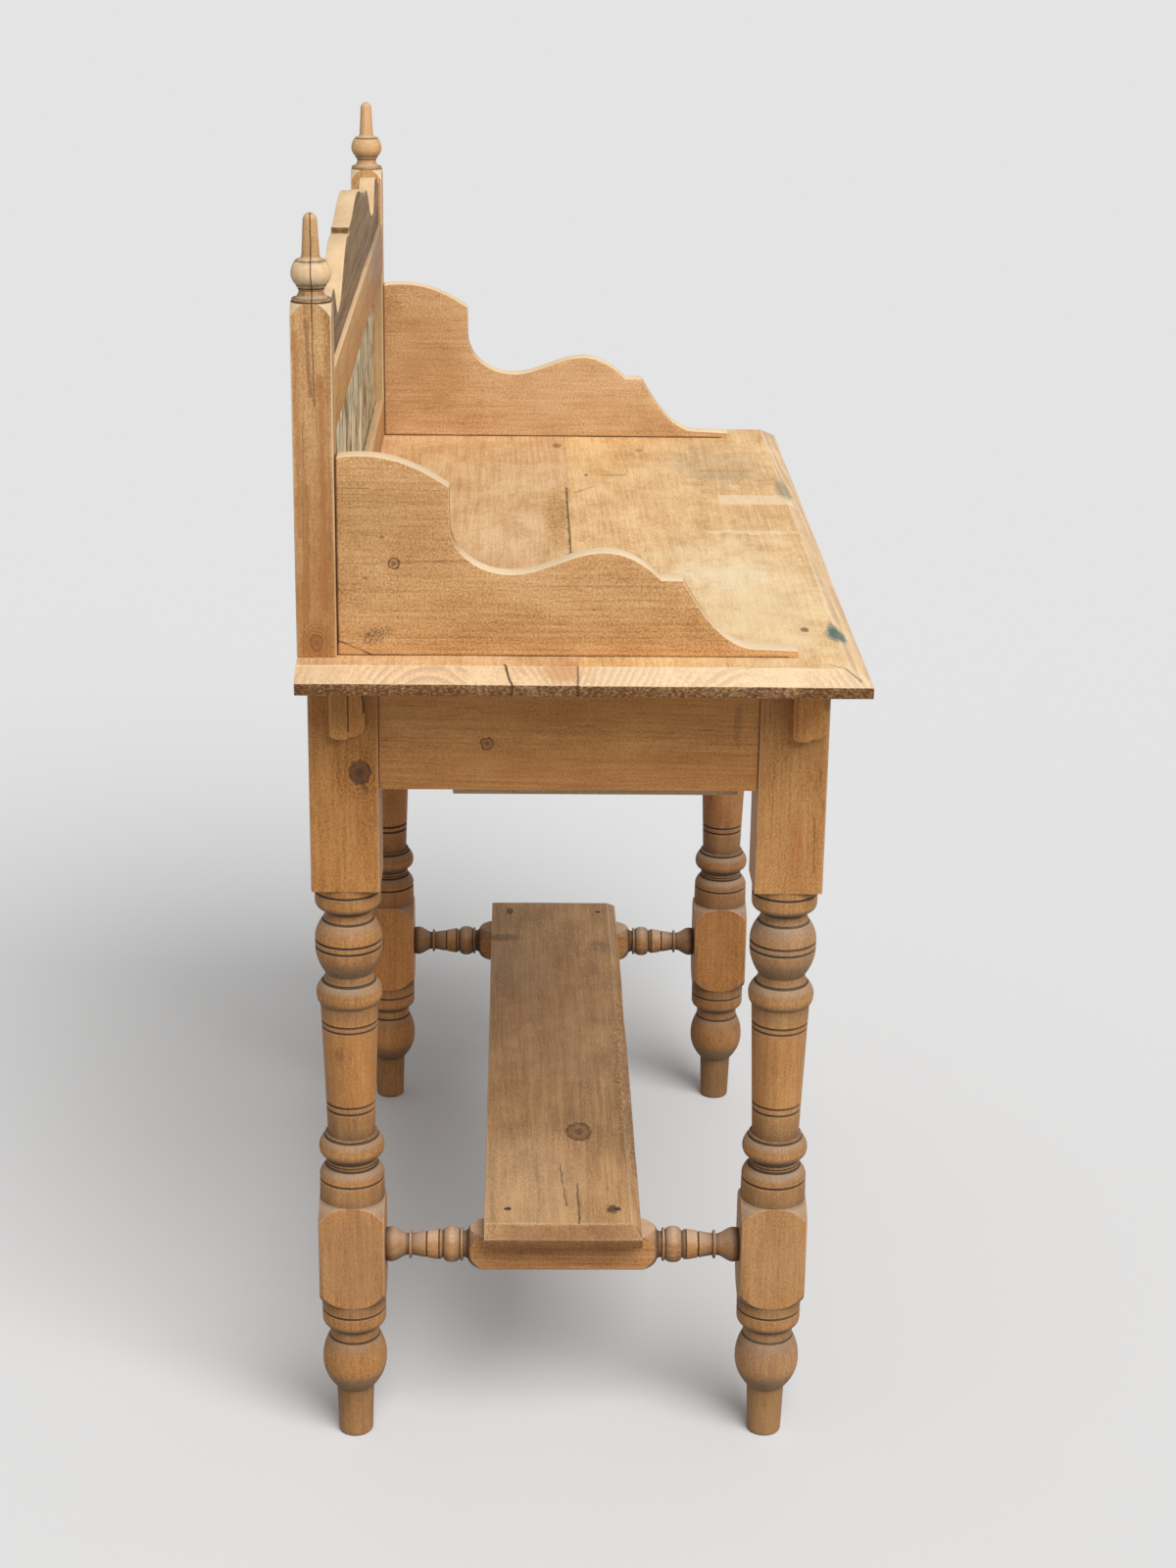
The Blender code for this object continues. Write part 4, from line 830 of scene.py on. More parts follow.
boardSharp = 40.0  # degrees above which a board's edge is drawn sharp
gallery = {
    "backHeight": 0.161,
    "noseHeight": 0.0062,
    "edge": [
        ("round", 0.02, 0.1635), ("fall", 0.0695, 0.1385), ("line", 0.0005, 0.108),
        ("hollow", 0.0485, 0.068), ("ogee", 0.075, 0.0865), ("fall", 0.0455, 0.064),
        ("line", 0.0175, 0.064), ("settle", 0.06, 0.0075),
    ],
    "steps": 12,
    "arris": 0.0016,
    "foot": 0.0003,
    "cutEvery": 0.06,
    "shift": 0.0005,
}
galleryWoods = {
    "gallery_left": dict(seed=9.0, tint=(1.0, 0.98, 0.95), pith=(-0.47, 0.835), knots=(
        knotAt((-0.418, 0.1518, 0.8364), (0.05, 0.0046, 0.0044), 0.35, 0.85),
    ), marks=onFace(0, -0.418, (
        # painted shade: a darker patch high on the back of the gallery
        spot((0.15, 0.885), (0.05, 0.08, 0.06), 0.22, (0.4, 0.21, 0.07), grit=30.0, core=0.1),
        line((-0.408, 0.1975, 0.76), (-0.408, 0.1975, 0.922), 0.0022, 0.9, grimeTone, through=0,
            wander=0.001),
        line((0.1975, 0.7604), (-0.165, 0.7604), 0.0015, 0.65, grimeTone, through=0, wander=0.001),
        line((0.2, 0.8355), (0.06, 0.84), 0.0012, 0.35, knotTone),
        line((0.198, 0.7725), (0.166, 0.759), 0.0011, 0.85, grimeTone, wander=0.002, sunk=0.5),
        spot((0.169, 0.776), (0.011, 0.0085), 0.6, grimeTone, speckle=700.0, ragged=1.2, sunk=0.4),
        spot((0.159, 0.78), (0.008, 0.005), 0.45, grimeTone, speckle=650.0),
        spot((0.175, 0.8242), (0.01, 0.0028, 0.0014), 0.6, knotTone),
        spot((0.161, 0.858), (0.01, 0.0018, 0.0016), 0.6, knotTone),
        spot((-0.0077, 0.7996), (0.01, 0.003, 0.0012), 0.5, knotTone),
        line((0.06, 0.818), (-0.11, 0.82), 0.0016, 0.22, knotTone),
        spot((0.19, 0.764), (0.017, 0.007), 0.35, (0.8, 0.47, 0.2), ragged=0.1),
    ))),
    "gallery_right": dict(seed=10.0, tint=(0.95, 1.02, 1.16), pith=(0.36, 0.9), marks=(
        # painted shade high on the back of the gallery, and painted light on its middle
        spot((0.396, 0.15, 0.84), (0.05, 0.08, 0.09), 0.26, (0.42, 0.19, 0.06), grit=30.0, core=0.2),
        spot((0.396, -0.02, 0.8), (0.05, 0.11, 0.05), 0.13, (0.88, 0.64, 0.42), grit=30.0, core=0.3),
        line((0.408, 0.1975, 0.76), (0.408, 0.1975, 0.922), 0.0018, 0.7, grimeTone, through=0,
            wander=0.001),
        line((0.4, 0.1975, 0.7604), (0.4, -0.165, 0.7604), 0.002, 0.8, grimeTone, through=0,
            wander=0.001),
    )),
}


def makeGalleries():
    g = gallery
    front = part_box("lower_back_rail")[0].y
    for node, wood in galleryWoods.items():
        low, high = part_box(node)
        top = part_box("top_board_back")[1].z
        edge = mouldings(g["backHeight"], g["foot"], g["edge"], g["steps"])
        points = [(low.x, front - g["foot"], top + g["foot"])]
        points = points + [(low.x, front - along, top + height) for height, along in edge]
        points = points + [(low.x, low.y, top + g["noseHeight"]), (low.x, low.y, top + g["foot"])]
        shape = outlineShape(points, (high.x - low.x, 0.0, 0.0))
        softenEdges(shape, g["arris"], 55.0, 3)
        loosen(shape, g["cutEvery"], g["shift"], wood["seed"])
        showPine(
            node, shape, boardSharp, grain=1, tone="waxed", lean=(0.02, 0.01), ringDepth=0.07,
            streakDepth=0.2, fibreDepth=0.7, speckDepth=1.5, mottleDepth=0.95, fleckDepth=0.16, bleach=0.85,
            wear=0.35, endDark=0.3, **wood
        )
    print("galleries sawn")


makeGalleries()


def slabShape(low, high, drop, endsIn, frontIn):
    # a board whose upper edges are drawn in to a bevel on its ends and front
    shape = bmesh.new()
    bmesh.ops.create_cube(shape, size=1.0)
    size = high - low
    bmesh.ops.scale(shape, vec=(size.x, size.y, size.z - drop), verts=shape.verts[:])
    middle = (low + high) / 2
    moveBy(shape, middle - Vector((0.0, 0.0, drop / 2)))
    upper = max(shape.faces, key=lambda face: face.calc_center_median().z)
    raised = bmesh.ops.extrude_face_region(shape, geom=[upper])
    bmesh.ops.delete(shape, geom=[upper], context="FACES")
    for vert in [item for item in raised["geom"] if isinstance(item, bmesh.types.BMVert)]:
        vert.co.z += drop
        vert.co.x += endsIn if vert.co.x < middle.x else -endsIn
        vert.co.y += frontIn if vert.co.y < middle.y else 0.0
    return shape


topBoards = {
    "bevelWidth": 0.0175,
    "bevelDrop": 0.0105,
    "arris": 0.001,
    "endStep": 0.0009,  # the front board's ends stand a little proud
    "jointGrow": 0.0001,
    "cutEvery": 0.05,
    "shift": 0.0006,
}
bevelSharp = 15.0  # degrees above which a bevelled board's edge is rubbed
teal = (0.055, 0.13, 0.11)
smudge = (0.3, 0.28, 0.18)
paleScrub = (0.93, 0.78, 0.52)
redStain = (0.52, 0.24, 0.09)
topWoods = {
    "top_board_front": dict(seed=11.0, tint=(1.02, 0.96, 0.88), pith=(-0.12, 0.7), frontIn=True, marks=onFace(
        2, 0.76, (
        spot((-0.4535, -0.12, 0.755), (0.009, 0.115, 0.012), 0.15, (0.96, 0.9, 0.74), square=True,
            ragged=0.4, core=0.9),
        spot((-0.25, -0.15), (0.3, 0.11, 0.005), 0.52, (0.93, 0.77, 0.47), grit=40.0, ragged=1.6,
            core=0.1),
        spot((-0.16, -0.13), (0.06, 0.045, 0.005), 0.28, (0.96, 0.86, 0.64), grit=70.0, ragged=2.4),
        spot((-0.01, -0.168), (0.01, 0.05), 0.45, paleScrub, grit=80.0, ragged=1.6),
        spot((0.12, -0.183), (0.019, 0.036), 0.5, paleScrub, square=True, ragged=0.25, core=0.95),
        spot((0.27, -0.15), (0.1, 0.06), 0.22, smudge, grit=45.0, ragged=2.2),
        spot((0.215, -0.165), (0.014, 0.045), 0.25, smudge, grit=80.0, ragged=1.8),
        spot((0.165, -0.2125, 0.758), (0.05, 0.009), 0.65, (0.2, 0.21, 0.13)),
        spot((-0.349, -0.2115), (0.026, 0.0105), 0.9, teal, ragged=0.9),
        spot((-0.333, -0.21), (0.026, 0.005), 0.6, teal, ragged=0.9),
        spot((-0.337, -0.1862), (0.0085, 0.0042), 0.85, (0.16, 0.08, 0.03), ragged=0.5),
        spot((0.23, -0.031), (0.016, 0.02), 0.5, (0.6, 0.33, 0.1), grit=60.0),
        spot((0.2197, -0.016), (0.007, 0.0028), 0.8, (0.14, 0.09, 0.05)),
        line((0.2205, -0.038), (0.2212, -0.053), 0.005, 0.6, (0.2, 0.15, 0.08)),
        line((0.1435, -0.003), (0.1724, -0.0234), 0.003, 0.35, knotTone),
        spot((0.3365, -0.075), (0.009, 0.005), 0.5, knotTone),
        line((0.244, -0.135), (0.246, -0.186), 0.004, 0.45, (0.24, 0.16, 0.08), wander=0.008),
        line((0.2, -0.188), (0.208, -0.208), 0.003, 0.45, (0.22, 0.16, 0.08)),
        line((-0.449, -0.112), (-0.435, -0.197), 0.0012, 0.45, (0.28, 0.22, 0.12), wander=0.002),
        line((-0.435, -0.198), (-0.457, -0.22, 0.757), 0.0015, 0.7, (0.2, 0.13, 0.06), through=2,
            wander=0.002),
    ))),
    "top_board_back": dict(seed=12.0, tint=(0.91, 0.84, 0.83), pith=(0.132, 0.7), frontIn=False, marks=onFace(
        2, 0.76, (
        spot((0.05, 0.0155), (0.135, 0.015), 0.3, (0.72, 0.42, 0.12), core=0.8, ragged=0.6, sunk=1.2),
        spot((0.05, 0.0155), (0.135, 0.015), 0.85, (0.34, 0.16, 0.04), core=0.4, ragged=1.6,
            speckle=420.0, sunk=0.8),
        line((-0.444, 0.0052), (-0.464, 0.0052, 0.74), 0.0016, 0.75, grimeTone, through=2,
            wander=0.001),
        line((-0.15, 0.0048), (0.165, 0.0048), 0.0022, 0.8, grimeTone),
        spot((0.355, 0.0125), (0.012, 0.006), 0.7, knotTone),
        line((-0.44, 0.0645, 0.759), (-0.463, 0.0575, 0.748), 0.0016, 0.95, grimeTone, through=2,
            wander=0.004, sunk=0.8),
        spot((-0.45, 0.018, 0.757), (0.022, 0.018, 0.0075), 0.55, redStain, ragged=0.9),
    ))),
}


def makeTopBoards():
    t = topBoards
    for node, wood in topWoods.items():
        low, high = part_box(node)
        frontIn = t["bevelWidth"] if wood.pop("frontIn") else 0.0
        if frontIn:
            low.x -= t["endStep"]
            high.y += t["jointGrow"]
        else:
            low.y -= t["jointGrow"]
        shape = slabShape(low, high, t["bevelDrop"], t["bevelWidth"], frontIn)
        joint = high.y if frontIn else low.y
        outer = []
        for edge in shape.edges:
            inJoint = all(abs(vert.co.y - joint) < closeDist for vert in edge.verts)
            if not inJoint and edge.calc_face_angle(0.0) > math.radians(bevelSharp):
                outer.append(edge)
        rubEdges(shape, outer, t["arris"], 2)
        loosen(shape, t["cutEvery"], t["shift"], wood["seed"])
        showPine(
            node, shape, boardSharp, grain=0, tone="scrubbed", spacing=0.005, wave=0.024, lean=(0.03, 0.015),
            fibreDepth=1.0, streakDepth=0.3, mottleDepth=1.7, speckDepth=1.7, bleach=0.1,
            wear=0.35, endDark=1.0, slopePale=0.36, slopeRings=0.8, **wood
        )
    print("top boards planed")


makeTopBoards()

shelf = {
    "bevelWidth": 0.014,
    "frontWidth": 0.009,
    "bevelDrop": 0.009,
    "arris": 0.0012,
    "cutEvery": 0.045,
    "shift": 0.0007,
}
shelfWood = dict(
    seed=13.0, grain=0, tone="footworn", pith=(-0.02, 0.15), spacing=0.0045, bleach=0.1, endDark=0.8,
    roughness=0.58, ringDepth=0.1, mottleDepth=1.7, streakDepth=1.0, fibreDepth=1.2, speckDepth=2.0,
    tint=(1.0, 0.93, 0.8), wear=0.2,
    knots=(knotAt((-0.1988, -0.007, 0.2253), (0.019, 0.0115, 0.05), 0.65, 0.65),),
    marks=onFace(2, 0.2253, (
        line((-0.263, 0.0118), (-0.345, 0.0068), 0.0013, 0.8, grimeTone, sunk=0.6),
        line((-0.302, -0.0037), (-0.378, -0.0046), 0.0016, 0.85, grimeTone, wander=0.003, sunk=0.6),
        spot((0.275, 0.068), (0.012, 0.02), 0.6, (0.14, 0.08, 0.04)),
        spot((0.25, -0.04), (0.02, 0.016), 0.5, (0.16, 0.09, 0.04), speckle=200.0),
        spot((-0.31, 0.04), (0.12, 0.06), 0.16, (0.62, 0.46, 0.3), grit=30.0, ragged=1.6),
        spot((0.352, 0.06), (0.011, 0.0048), 0.9, grimeTone, ragged=0.7, sunk=1.0),
        line((0.347, 0.0612), (0.357, 0.059), 0.0012, 0.7, (0.55, 0.4, 0.16)),
        spot((-0.06, -0.058, 0.223), (0.3, 0.018), 0.6, (0.19, 0.085, 0.035), speckle=240.0),
        spot((0.01, 0.0), (0.17, 0.07), 0.2, (0.74, 0.48, 0.26), grit=40.0, ragged=1.8, core=0.2),
        spot((0.13, 0.02), (0.16, 0.06), 0.2, (0.4, 0.165, 0.05), grit=45.0, ragged=2.2),
        line((-0.3, -0.045), (0.06, -0.05), 0.0013, 0.35, knotTone, wander=0.006),
        line((-0.23, -0.033), (0.15, -0.04), 0.0011, 0.3, knotTone, wander=0.006),
        line((-0.14, 0.027), (0.21, 0.03), 0.0012, 0.25, knotTone, wander=0.006),
        spot((-0.12, 0.05), (0.1, 0.05), 0.22, (0.38, 0.165, 0.06), grit=60.0, ragged=2.2),
        spot((0.19, 0.05), (0.09, 0.04), 0.22, (0.46, 0.33, 0.2), grit=50.0, ragged=1.8),
        spot((-0.3515, -0.034), (0.01, 0.0058), 0.85, grimeTone, ragged=1.1),
        spot((-0.386, 0.005, 0.22), (0.009, 0.08), 0.62, (0.2, 0.082, 0.028), square=True, ragged=0.3),
    )),
)


def makeShelf():
    low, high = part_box("shelf_board")
    shape = slabShape(low, high, shelf["bevelDrop"], shelf["bevelWidth"], shelf["frontWidth"])
    softenEdges(shape, shelf["arris"], bevelSharp)
    loosen(shape, shelf["cutEvery"], shelf["shift"], shelfWood["seed"])
    showPine("shelf_board", shape, boardSharp, **shelfWood)
    print("shelf planed")


makeShelf()

crest = {
    "centreHeight": 0.0845,
    "edge": [  # from the middle to a post: shape, share of that length and end height
        ("ogee", 0.309, 0.071), ("line", 0.0, 0.0645), ("settle", 0.0785, 0.067),
        ("ogee", 0.287, 0.028), ("line", 0.0589, 0.0265), ("ogee", 0.1251, 0.054),
        ("fall", 0.1415, 0.043),
    ],
    "steps": 12,
    "arris": 0.0012,
    "cutEvery": 0.08,
    "shift": 0.0004,
}
crestWood = dict(
    seed=14.0, grain=0, tone="greyed", pith=(0.19, 1.02), lean=(0.0, 0.01), ringDepth=0.3, streakDepth=2.2,
    fibreDepth=1.2, bleach=0.8, bleachTone=(0.84, 0.6, 0.35), wear=0.35, endDark=0.5, roughness=0.6,
    speckDepth=1.3, tint=(0.81, 0.7, 0.5),
)


def makeCrest():
    c = crest
    low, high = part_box("crest_board")
    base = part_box("upper_back_rail")[1].z
    rows = [(kind, share * high.x, height) for kind, share, height in c["edge"]]
    edge = mouldings(c["centreHeight"], 0.0, rows, c["steps"])
    right = [(along, low.y, base + height) for height, along in edge] + [(high.x, low.y, base)]
    left = [(-x, y, z) for x, y, z in right[:0:-1]]
    shape = outlineShape(right + left, (0.0, high.y - low.y, 0.0))
    softenEdges(shape, c["arris"], 50.0)
    loosen(shape, c["cutEvery"], c["shift"], crestWood["seed"])
    showPine("crest_board", shape, boardSharp, **crestWood)
    print("crest sawn")


makeCrest()

# boards that keep the shape of their CAD solid, with their edges eased: node, grain, tone, pith and habits
apronTint = (1.09, 1.06, 1.0)
plainRows = [
    ("end_apron_left", 1, "turned", (-0.43, 0.5), dict(tint=apronTint, knots=(
        knotAt((-0.377, 0.0781, 0.6717), (0.05, 0.0055, 0.0058), 0.5, 0.7),
    ), marks=onFace(0, -0.377, (
        # painted shade on the lower part of the apron and painted light on its upper part, under the top's
        # overhang
        spot((0.01, 0.636), (0.3, 0.05), 0.3, (0.38, 0.145, 0.032), core=0.3, grit=40.0),
        spot((0.01, 0.702), (0.3, 0.022), 0.18, (0.8, 0.44, 0.13), core=0.4, grit=40.0),
        spot((-0.1297, 0.69), (0.01, 0.0045, 0.02), 0.35, knotTone),
        line((0.01, 0.686), (-0.01, 0.688), 0.0015, 0.4, knotTone),
    )))),
    ("end_apron_right", 1, "turned", (0.43, 0.5), dict(tint=apronTint)),
    ("back_apron", 0, "turned", (0.28, 0.69), dict(tint=apronTint)),
    ("front_top_rail", 0, "turned", (-0.26, 0.76), {}),
    ("drawer_rail", 0, "turned", (-0.25, 0.6), {}),
    ("lower_back_rail", 0, "waxed", (0.16, 0.74), dict(tint=(0.89, 0.92, 0.92))),
    ("upper_back_rail", 0, "waxed", (0.14, 0.99), dict(tint=(0.88, 0.8, 0.57), bleach=0.5, wear=0.3, marks=(
        # a soft dark patch darkens the far half of the rail
        spot((0.33, 0.198, 0.975), (0.26, 0.05, 0.05), 0.48, (0.15, 0.11, 0.068), grit=30.0, core=0.2),
    ))),
    ("tile_stile_left", 2, "turned", (-0.36, 0.19), {}),
    ("tile_stile_right", 2, "turned", (0.36, 0.19), {}),
    ("back_panel", 0, "raw", (0.3, 0.85), dict(wave=0.03)),
    ("drawer_front", 0, "turned", (-0.25, 0.67), dict(knots=(
        knotAt((0.085, -0.203, 0.692), (0.008, 0.05, 0.006), 0.5, 0.7),
    ))),
    ("drawer_side_left", 1, "raw", (-0.37, 0.66), {}),
    ("drawer_side_right", 1, "raw", (0.37, 0.67), {}),
    ("drawer_back", 0, "raw", (0.14, 0.65), {}),
    ("drawer_bottom", 0, "raw", (-0.03, 0.6), dict(wave=0.03)),
]
firstSeeds = {"plain": 15.0, "corbel": 31.0, "inner": 40.0}
plainBoards = {}
for index, (node, grain, tone, pith, habits) in enumerate(plainRows):
    plainBoards[node] = dict(grain=grain, tone=tone, seed=firstSeeds["plain"] + index, pith=pith, **habits)
for index, place in enumerate(("front_left", "front_right", "back_left", "back_right")):
    middle = boxMiddle("corbel_" + place)
    plainBoards["corbel_" + place] = dict(
        grain=2, tone="turned", seed=firstSeeds["corbel"] + index, pith=(middle.x * 0.9, middle.y + 0.04),
        endDark=0.3, tint=(1.14, 1.08, 0.89),
    )
plainBoards["corbel_back_left"]["marks"] = (
    # painted shade: the square patch darkens one facet of the corbel, and the first line paints the shadow
    # along its step
    spot((-0.4, 0.2, 0.722), (0.05, 0.008, 0.04), 0.3, (0.2, 0.115, 0.052), square=True, ragged=0.3),
    line((-0.4, 0.1922, 0.745), (-0.4, 0.1922, 0.686), 0.001, 0.75, grimeTone, through=0, wander=0.001),
    line((-0.4, 0.18, 0.745), (-0.4, 0.1795, 0.702), 0.0014, 0.95, grimeTone, through=0, wander=0.002),
)
plainBoards["corbel_front_left"]["marks"] = (
    spot((-0.4, -0.2024, 0.712), (0.05, 0.004, 0.008), 0.5, (0.1, 0.07, 0.025)),
)
innerBoards = [
    "glue_block_end_left", "glue_block_end_right", "glue_block_back_left", "glue_block_back_right",
    "drawer_runner_left", "drawer_runner_right", "drawer_kicker_left", "drawer_kicker_right",
    "drawer_stop_left", "drawer_stop_right",
]
for index, node in enumerate(innerBoards):
    middle = boxMiddle(node)
    lies = 0 if "back" in node or "stop" in node else 1
    pith = (0.05 + (middle.y, middle.x)[lies], middle.z - 0.06)
    plainBoards[node] = dict(grain=lies, tone="raw", seed=firstSeeds["inner"] + index, pith=pith)
plainEase = 0.001


def easedCopy(node, amount):
    shape = bmesh.new()
    shape.from_mesh(frame["nodes"][node].data)
    bmesh.ops.remove_doubles(shape, verts=shape.verts[:], dist=closeDist)
    bmesh.ops.dissolve_limit(
        shape, angle_limit=math.radians(1.0), verts=shape.verts[:], edges=shape.edges[:]
    )
    softenEdges(shape, amount)
    return shape


def makePlainBoards():
    for node, wood in plainBoards.items():
        showPine(node, easedCopy(node, plainEase), **wood)
    print("plain boards eased:", len(plainBoards))


makePlainBoards()

tile = {
    "count": 5,
    "pillow": 0.0022,
    "cream": (0.69, 0.67, 0.49),
    "olive": (0.14, 0.126, 0.058),
    "brown": (0.085, 0.06, 0.028),
    "milk": (0.86, 0.88, 0.76),
    "stretch": (0.75, 1.0, 0.42),
    "swayScale": 22.0,
    "poolScale": 30.0,
    "foldScale": 46.0,
    "veinWidth": 0.075,
    "veinShare": 0.7,
    "fineScale": 300.0,
    "roughness": 0.38,
    "bumpDepth": 0.0008,
    "shine": 0.2,
}


def glazeCoat(name, seed):
    # marbled glaze that ran down the tile in the kiln
    coat = Coat(name)
    streaks = coat.scaled(tile["stretch"], (seed * 0.9, 0.0, seed * 0.6))
    sway = coat.noise(streaks, tile["swayScale"], 3.0) - 0.5
    x, y, z = coat.split(streaks)
    swayed = coat.node("CombineXYZ", sockets={0: x + sway * 0.07, 1: y, 2: z + sway * 0.05})
    pools = coat.noise(swayed, tile["poolScale"], 3.0)
    folds = coat.noise(swayed, tile["foldScale"], 4.0, 0.6)
    veins = 1.0 - coat.rise(abs(folds - 0.5), 0.0, tile["veinWidth"])
    colour = coat.mix(coat.rise(pools, 0.49, 0.61), tile["cream"], tile["olive"])
    colour = coat.mix(veins * tile["veinShare"], colour, tile["brown"])
    colour = coat.mix(coat.rise(folds, 0.55, 0.7), colour, tile["milk"])
    fine = coat.noise(coat.here, tile["fineScale"])
    roughness = tile["roughness"] + (fine - 0.5) * 0.08
    return coat.finish(colour, roughness, pools + fine * 0.1, tile["bumpDepth"], tile["shine"])


def makeTiles():
    for index in range(1, tile["count"] + 1):
        node = f"tile_{index}"
        shape = easedCopy(node, tile["pillow"])
        showPiece(node, shape, glazeCoat(f"tileGlaze{index}", index * 1.0))
    print("tiles glazed")


makeTiles()

nail = {
    "segments": 14,
    "head": 0.0036,
    "taper": 0.9,
    "dome": 0.0007,
    "sunk": 0.0003,
    "depth": 0.003,
    "dent": 0.0004,
    "dentScale": 260.0,
    "iron": (0.03, 0.024, 0.02),
    "rust": (0.12, 0.055, 0.026),
    "rustScale": 900.0,
    "bumpDepth": 0.0003,
    "shine": 0.4,
}


def ironCoat():
    coat = Coat("nailIron")
    rust = coat.noise(coat.here, nail["rustScale"], 3.0)
    colour = coat.mix(coat.rise(rust, 0.4, 0.65), nail["iron"], nail["rust"])
    return coat.finish(colour, 0.55 + rust * 0.3, rust, nail["bumpDepth"], nail["shine"])


def makeNails():
    iron = ironCoat()
    for end in ("front", "back"):
        for side in ("left", "right"):
            node = f"shelf_nail_{end}_{side}"
            low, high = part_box(node)
            shank = ("line", nail["depth"], nail["head"] * nail["taper"])
            points = mouldings(0.0, 0.0, [("round", nail["dome"], nail["head"]), shank], 4)
            profile = [(size, -along, 0.0) for size, along in points]
            shape = turnShape(profile + [(0.0, -nail["depth"] - nail["dome"], 0.0)], nail["segments"])
            for vert in shape.verts:
                vert.co += noise.noise_vector(vert.co * nail["dentScale"] + low * 40.0) * nail["dent"]
            middle = (low + high) / 2
            moveBy(shape, (middle.x, middle.y, high.z - nail["sunk"] + nail["dome"]))
            showPiece(node, shape, iron)
    print("nails driven")


makeNails()

knob = {
    "segments": 40,
    "face": 0.009,
    "rows": [
        ("round", 0.004, 0.015), ("round", 0.007, 0.0115), ("hollow", 0.005, 0.008),
        ("hollow", 0.0055, 0.0115),
    ],
    "lines": [(0.0175, 0.0012, 0.0005)],
}


def makeKnobs():
    for side, seed in (("left", 51.0), ("right", 52.0)):
        node = "drawer_knob_" + side
        low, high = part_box(node)
        middle = (low + high) / 2
        points = carve(mouldings(knob["face"], 0.0, knob["rows"], 7), knob["lines"])
        reach = sum(row[1] for row in knob["rows"])
        dirty = withGrime(points, knob["lines"], 0.003, 0.009)
        turned = [(size, reach - along, dirt) for size, along, dirt in dirty]
        shape = turnShape([(0.0, reach, 0.0)] + turned + [(0.0, 0.0, 0.5)], knob["segments"])
        layDown(shape)
        moveBy(shape, (middle.x, low.y + reach, middle.z))
        showPine(
            node, shape, grain=1, tone="turned", grime=True, seed=seed, endDark=0.35,
            pith=(middle.x + 0.02, middle.z - 0.03), spacing=0.003, wave=0.006,
        )
    print("knobs turned")


makeKnobs()

studio = {
    "floorSize": 60.0,
    "floorGrey": 0.725,
    "floorBounce": 0.35,
    "floorRoughness": 0.9,
    "backdropGrey": 0.775,
    "skyStrength": 0.35,
    "keyStrength": 3.03,
    "keyAngle": 45.0,
    "keyFrom": (-0.8, -0.4, 1.0),
}


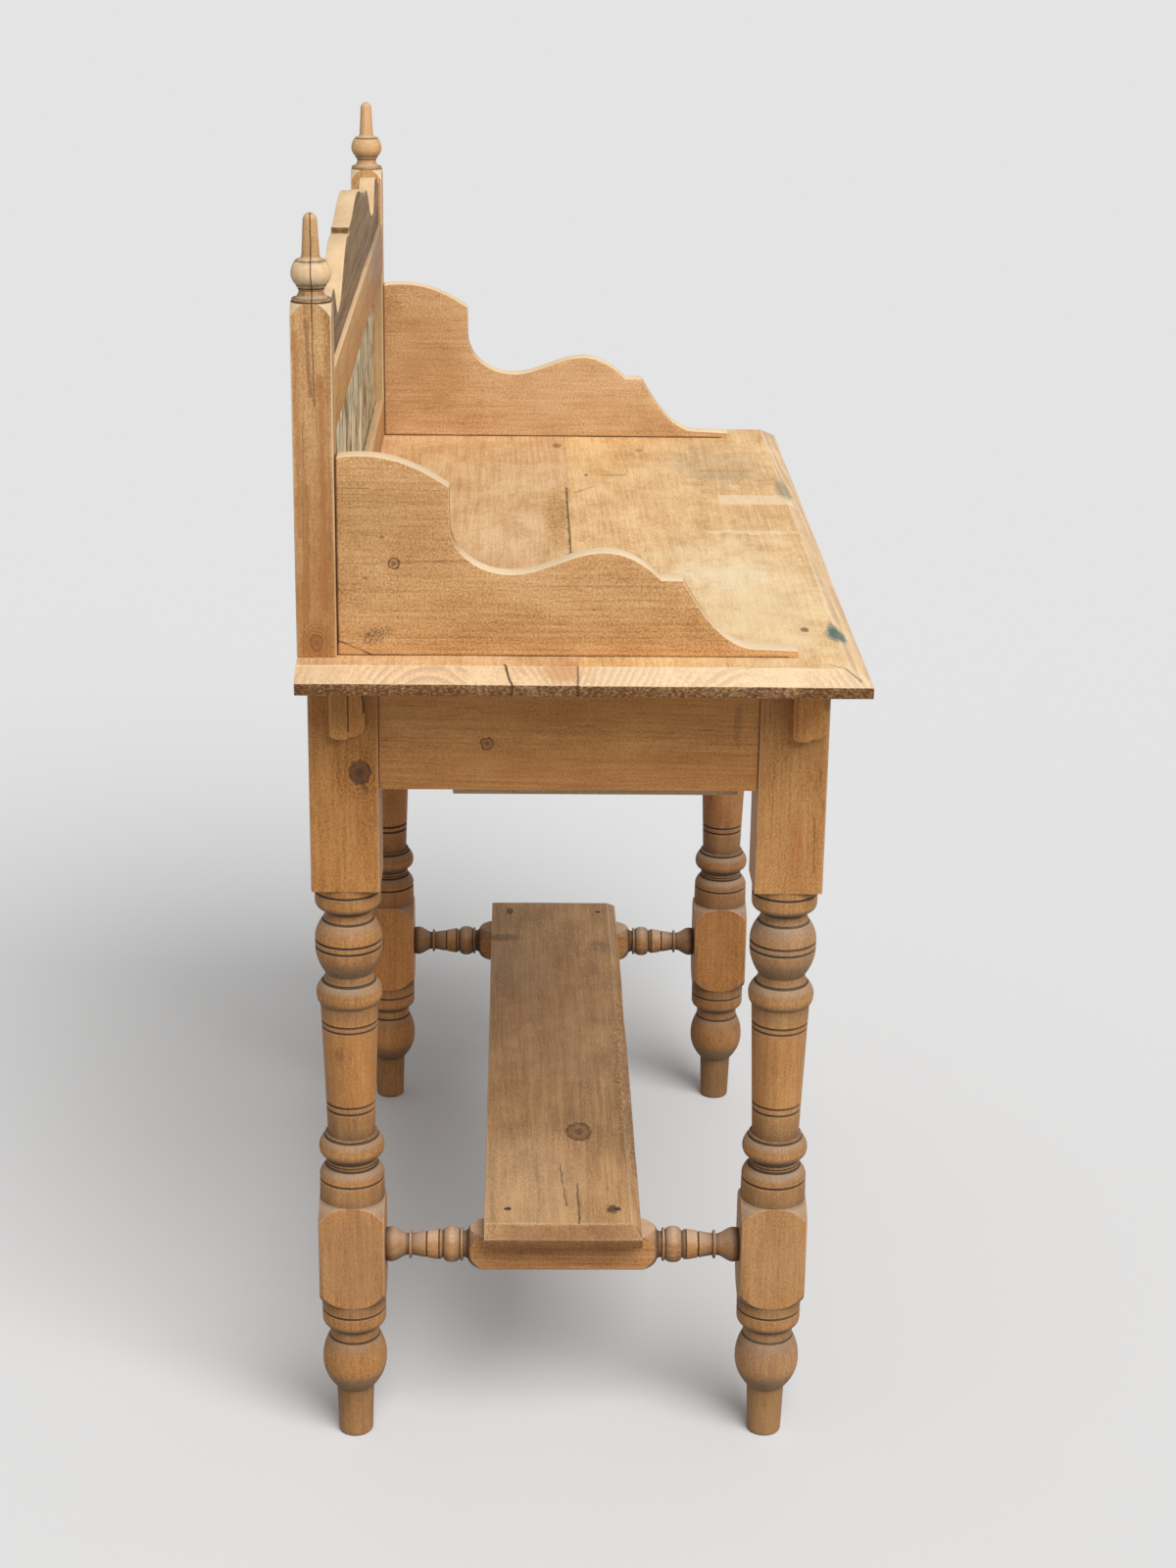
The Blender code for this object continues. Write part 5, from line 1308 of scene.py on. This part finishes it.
def makeStudio():
    shape = bmesh.new()
    bmesh.ops.create_grid(shape, x_segments=1, y_segments=1, size=studio["floorSize"] / 2)
    mesh = bpy.data.meshes.new("floor")
    shape.to_mesh(mesh)
    shape.free()
    floor = bpy.data.objects.new("floor", mesh)
    bpy.context.scene.collection.objects.link(floor)
    coat = Coat("floorPaint")
    rays = coat.node("LightPath", out="Is Camera Ray")
    plain = rays.maths("MAXIMUM", rays, rays.other("Is Glossy Ray"))
    plain = rays.maths("MAXIMUM", plain, rays.other("Is Transmission Ray"))
    greys = [[studio[name]] * 3 for name in ("floorBounce", "floorGrey")]
    coat.feed(coat.shader.inputs["Base Color"], coat.mix(plain, *greys))
    coat.feed(coat.shader.inputs["Roughness"], studio["floorRoughness"])
    coat.feed(coat.shader.inputs["Specular IOR Level"], 0.0)
    mesh.materials.append(coat.material)

    lamp = bpy.data.lights.new("softKey", "SUN")
    lamp.energy = studio["keyStrength"]
    lamp.angle = math.radians(studio["keyAngle"])
    key = bpy.data.objects.new("softKey", lamp)
    key.rotation_euler = Vector(studio["keyFrom"]).to_track_quat("Z", "Y").to_euler()
    bpy.context.scene.collection.objects.link(key)

    world = bpy.data.worlds.new("studio")
    world.use_nodes = True
    bpy.context.scene.world = world
    tree = world.node_tree
    sky = tree.nodes["Background"]
    sky.inputs["Color"].default_value = (1.0, 1.0, 1.0, 1.0)
    sky.inputs["Strength"].default_value = studio["skyStrength"]
    backdrop = tree.nodes.new("ShaderNodeBackground")
    backdrop.inputs["Strength"].default_value = studio["backdropGrey"]
    rays = tree.nodes.new("ShaderNodeLightPath")
    seen = rays.outputs["Is Camera Ray"]
    for name in ("Is Glossy Ray", "Is Transmission Ray"):
        total = tree.nodes.new("ShaderNodeMath")
        total.use_clamp = True
        tree.links.new(seen, total.inputs[0])
        tree.links.new(rays.outputs[name], total.inputs[1])
        seen = total.outputs[0]
    shown = tree.nodes.new("ShaderNodeMixShader")
    tree.links.new(seen, shown.inputs[0])
    tree.links.new(sky.outputs[0], shown.inputs[1])
    tree.links.new(backdrop.outputs[0], shown.inputs[2])
    tree.links.new(shown.outputs[0], tree.nodes["World Output"].inputs["Surface"])
    bpy.context.scene.view_settings.view_transform = "Standard"
    print("studio lit")


makeStudio()

photoView = {
    "place": (-2.5632, 0.0539, 1.4118),
    "yaw": -1.574,
    "pitch": -19.512,
    "roll": 0.836,
    "lens": 63.856,
    "sensor": 36.0,
}


def makeCamera():
    yaw = math.radians(photoView["yaw"])
    pitch = math.radians(photoView["pitch"])
    ahead = Vector((math.cos(yaw) * math.cos(pitch), math.sin(yaw) * math.cos(pitch), math.sin(pitch)))
    level = ahead.cross(Vector((0.0, 0.0, 1.0))).normalized()
    rise = level.cross(ahead)
    data = bpy.data.cameras.new("photoCamera")
    data.lens = photoView["lens"]
    data.sensor_width = photoView["sensor"]
    camera = bpy.data.objects.new("photoCamera", data)
    turn = Matrix((level, rise, -ahead)).transposed().to_4x4()
    roll = Matrix.Rotation(math.radians(photoView["roll"]), 4, "Z")
    camera.matrix_world = Matrix.Translation(photoView["place"]) @ turn @ roll
    bpy.context.scene.collection.objects.link(camera)
    bpy.context.scene.camera = camera
    print("camera placed")


makeCamera()
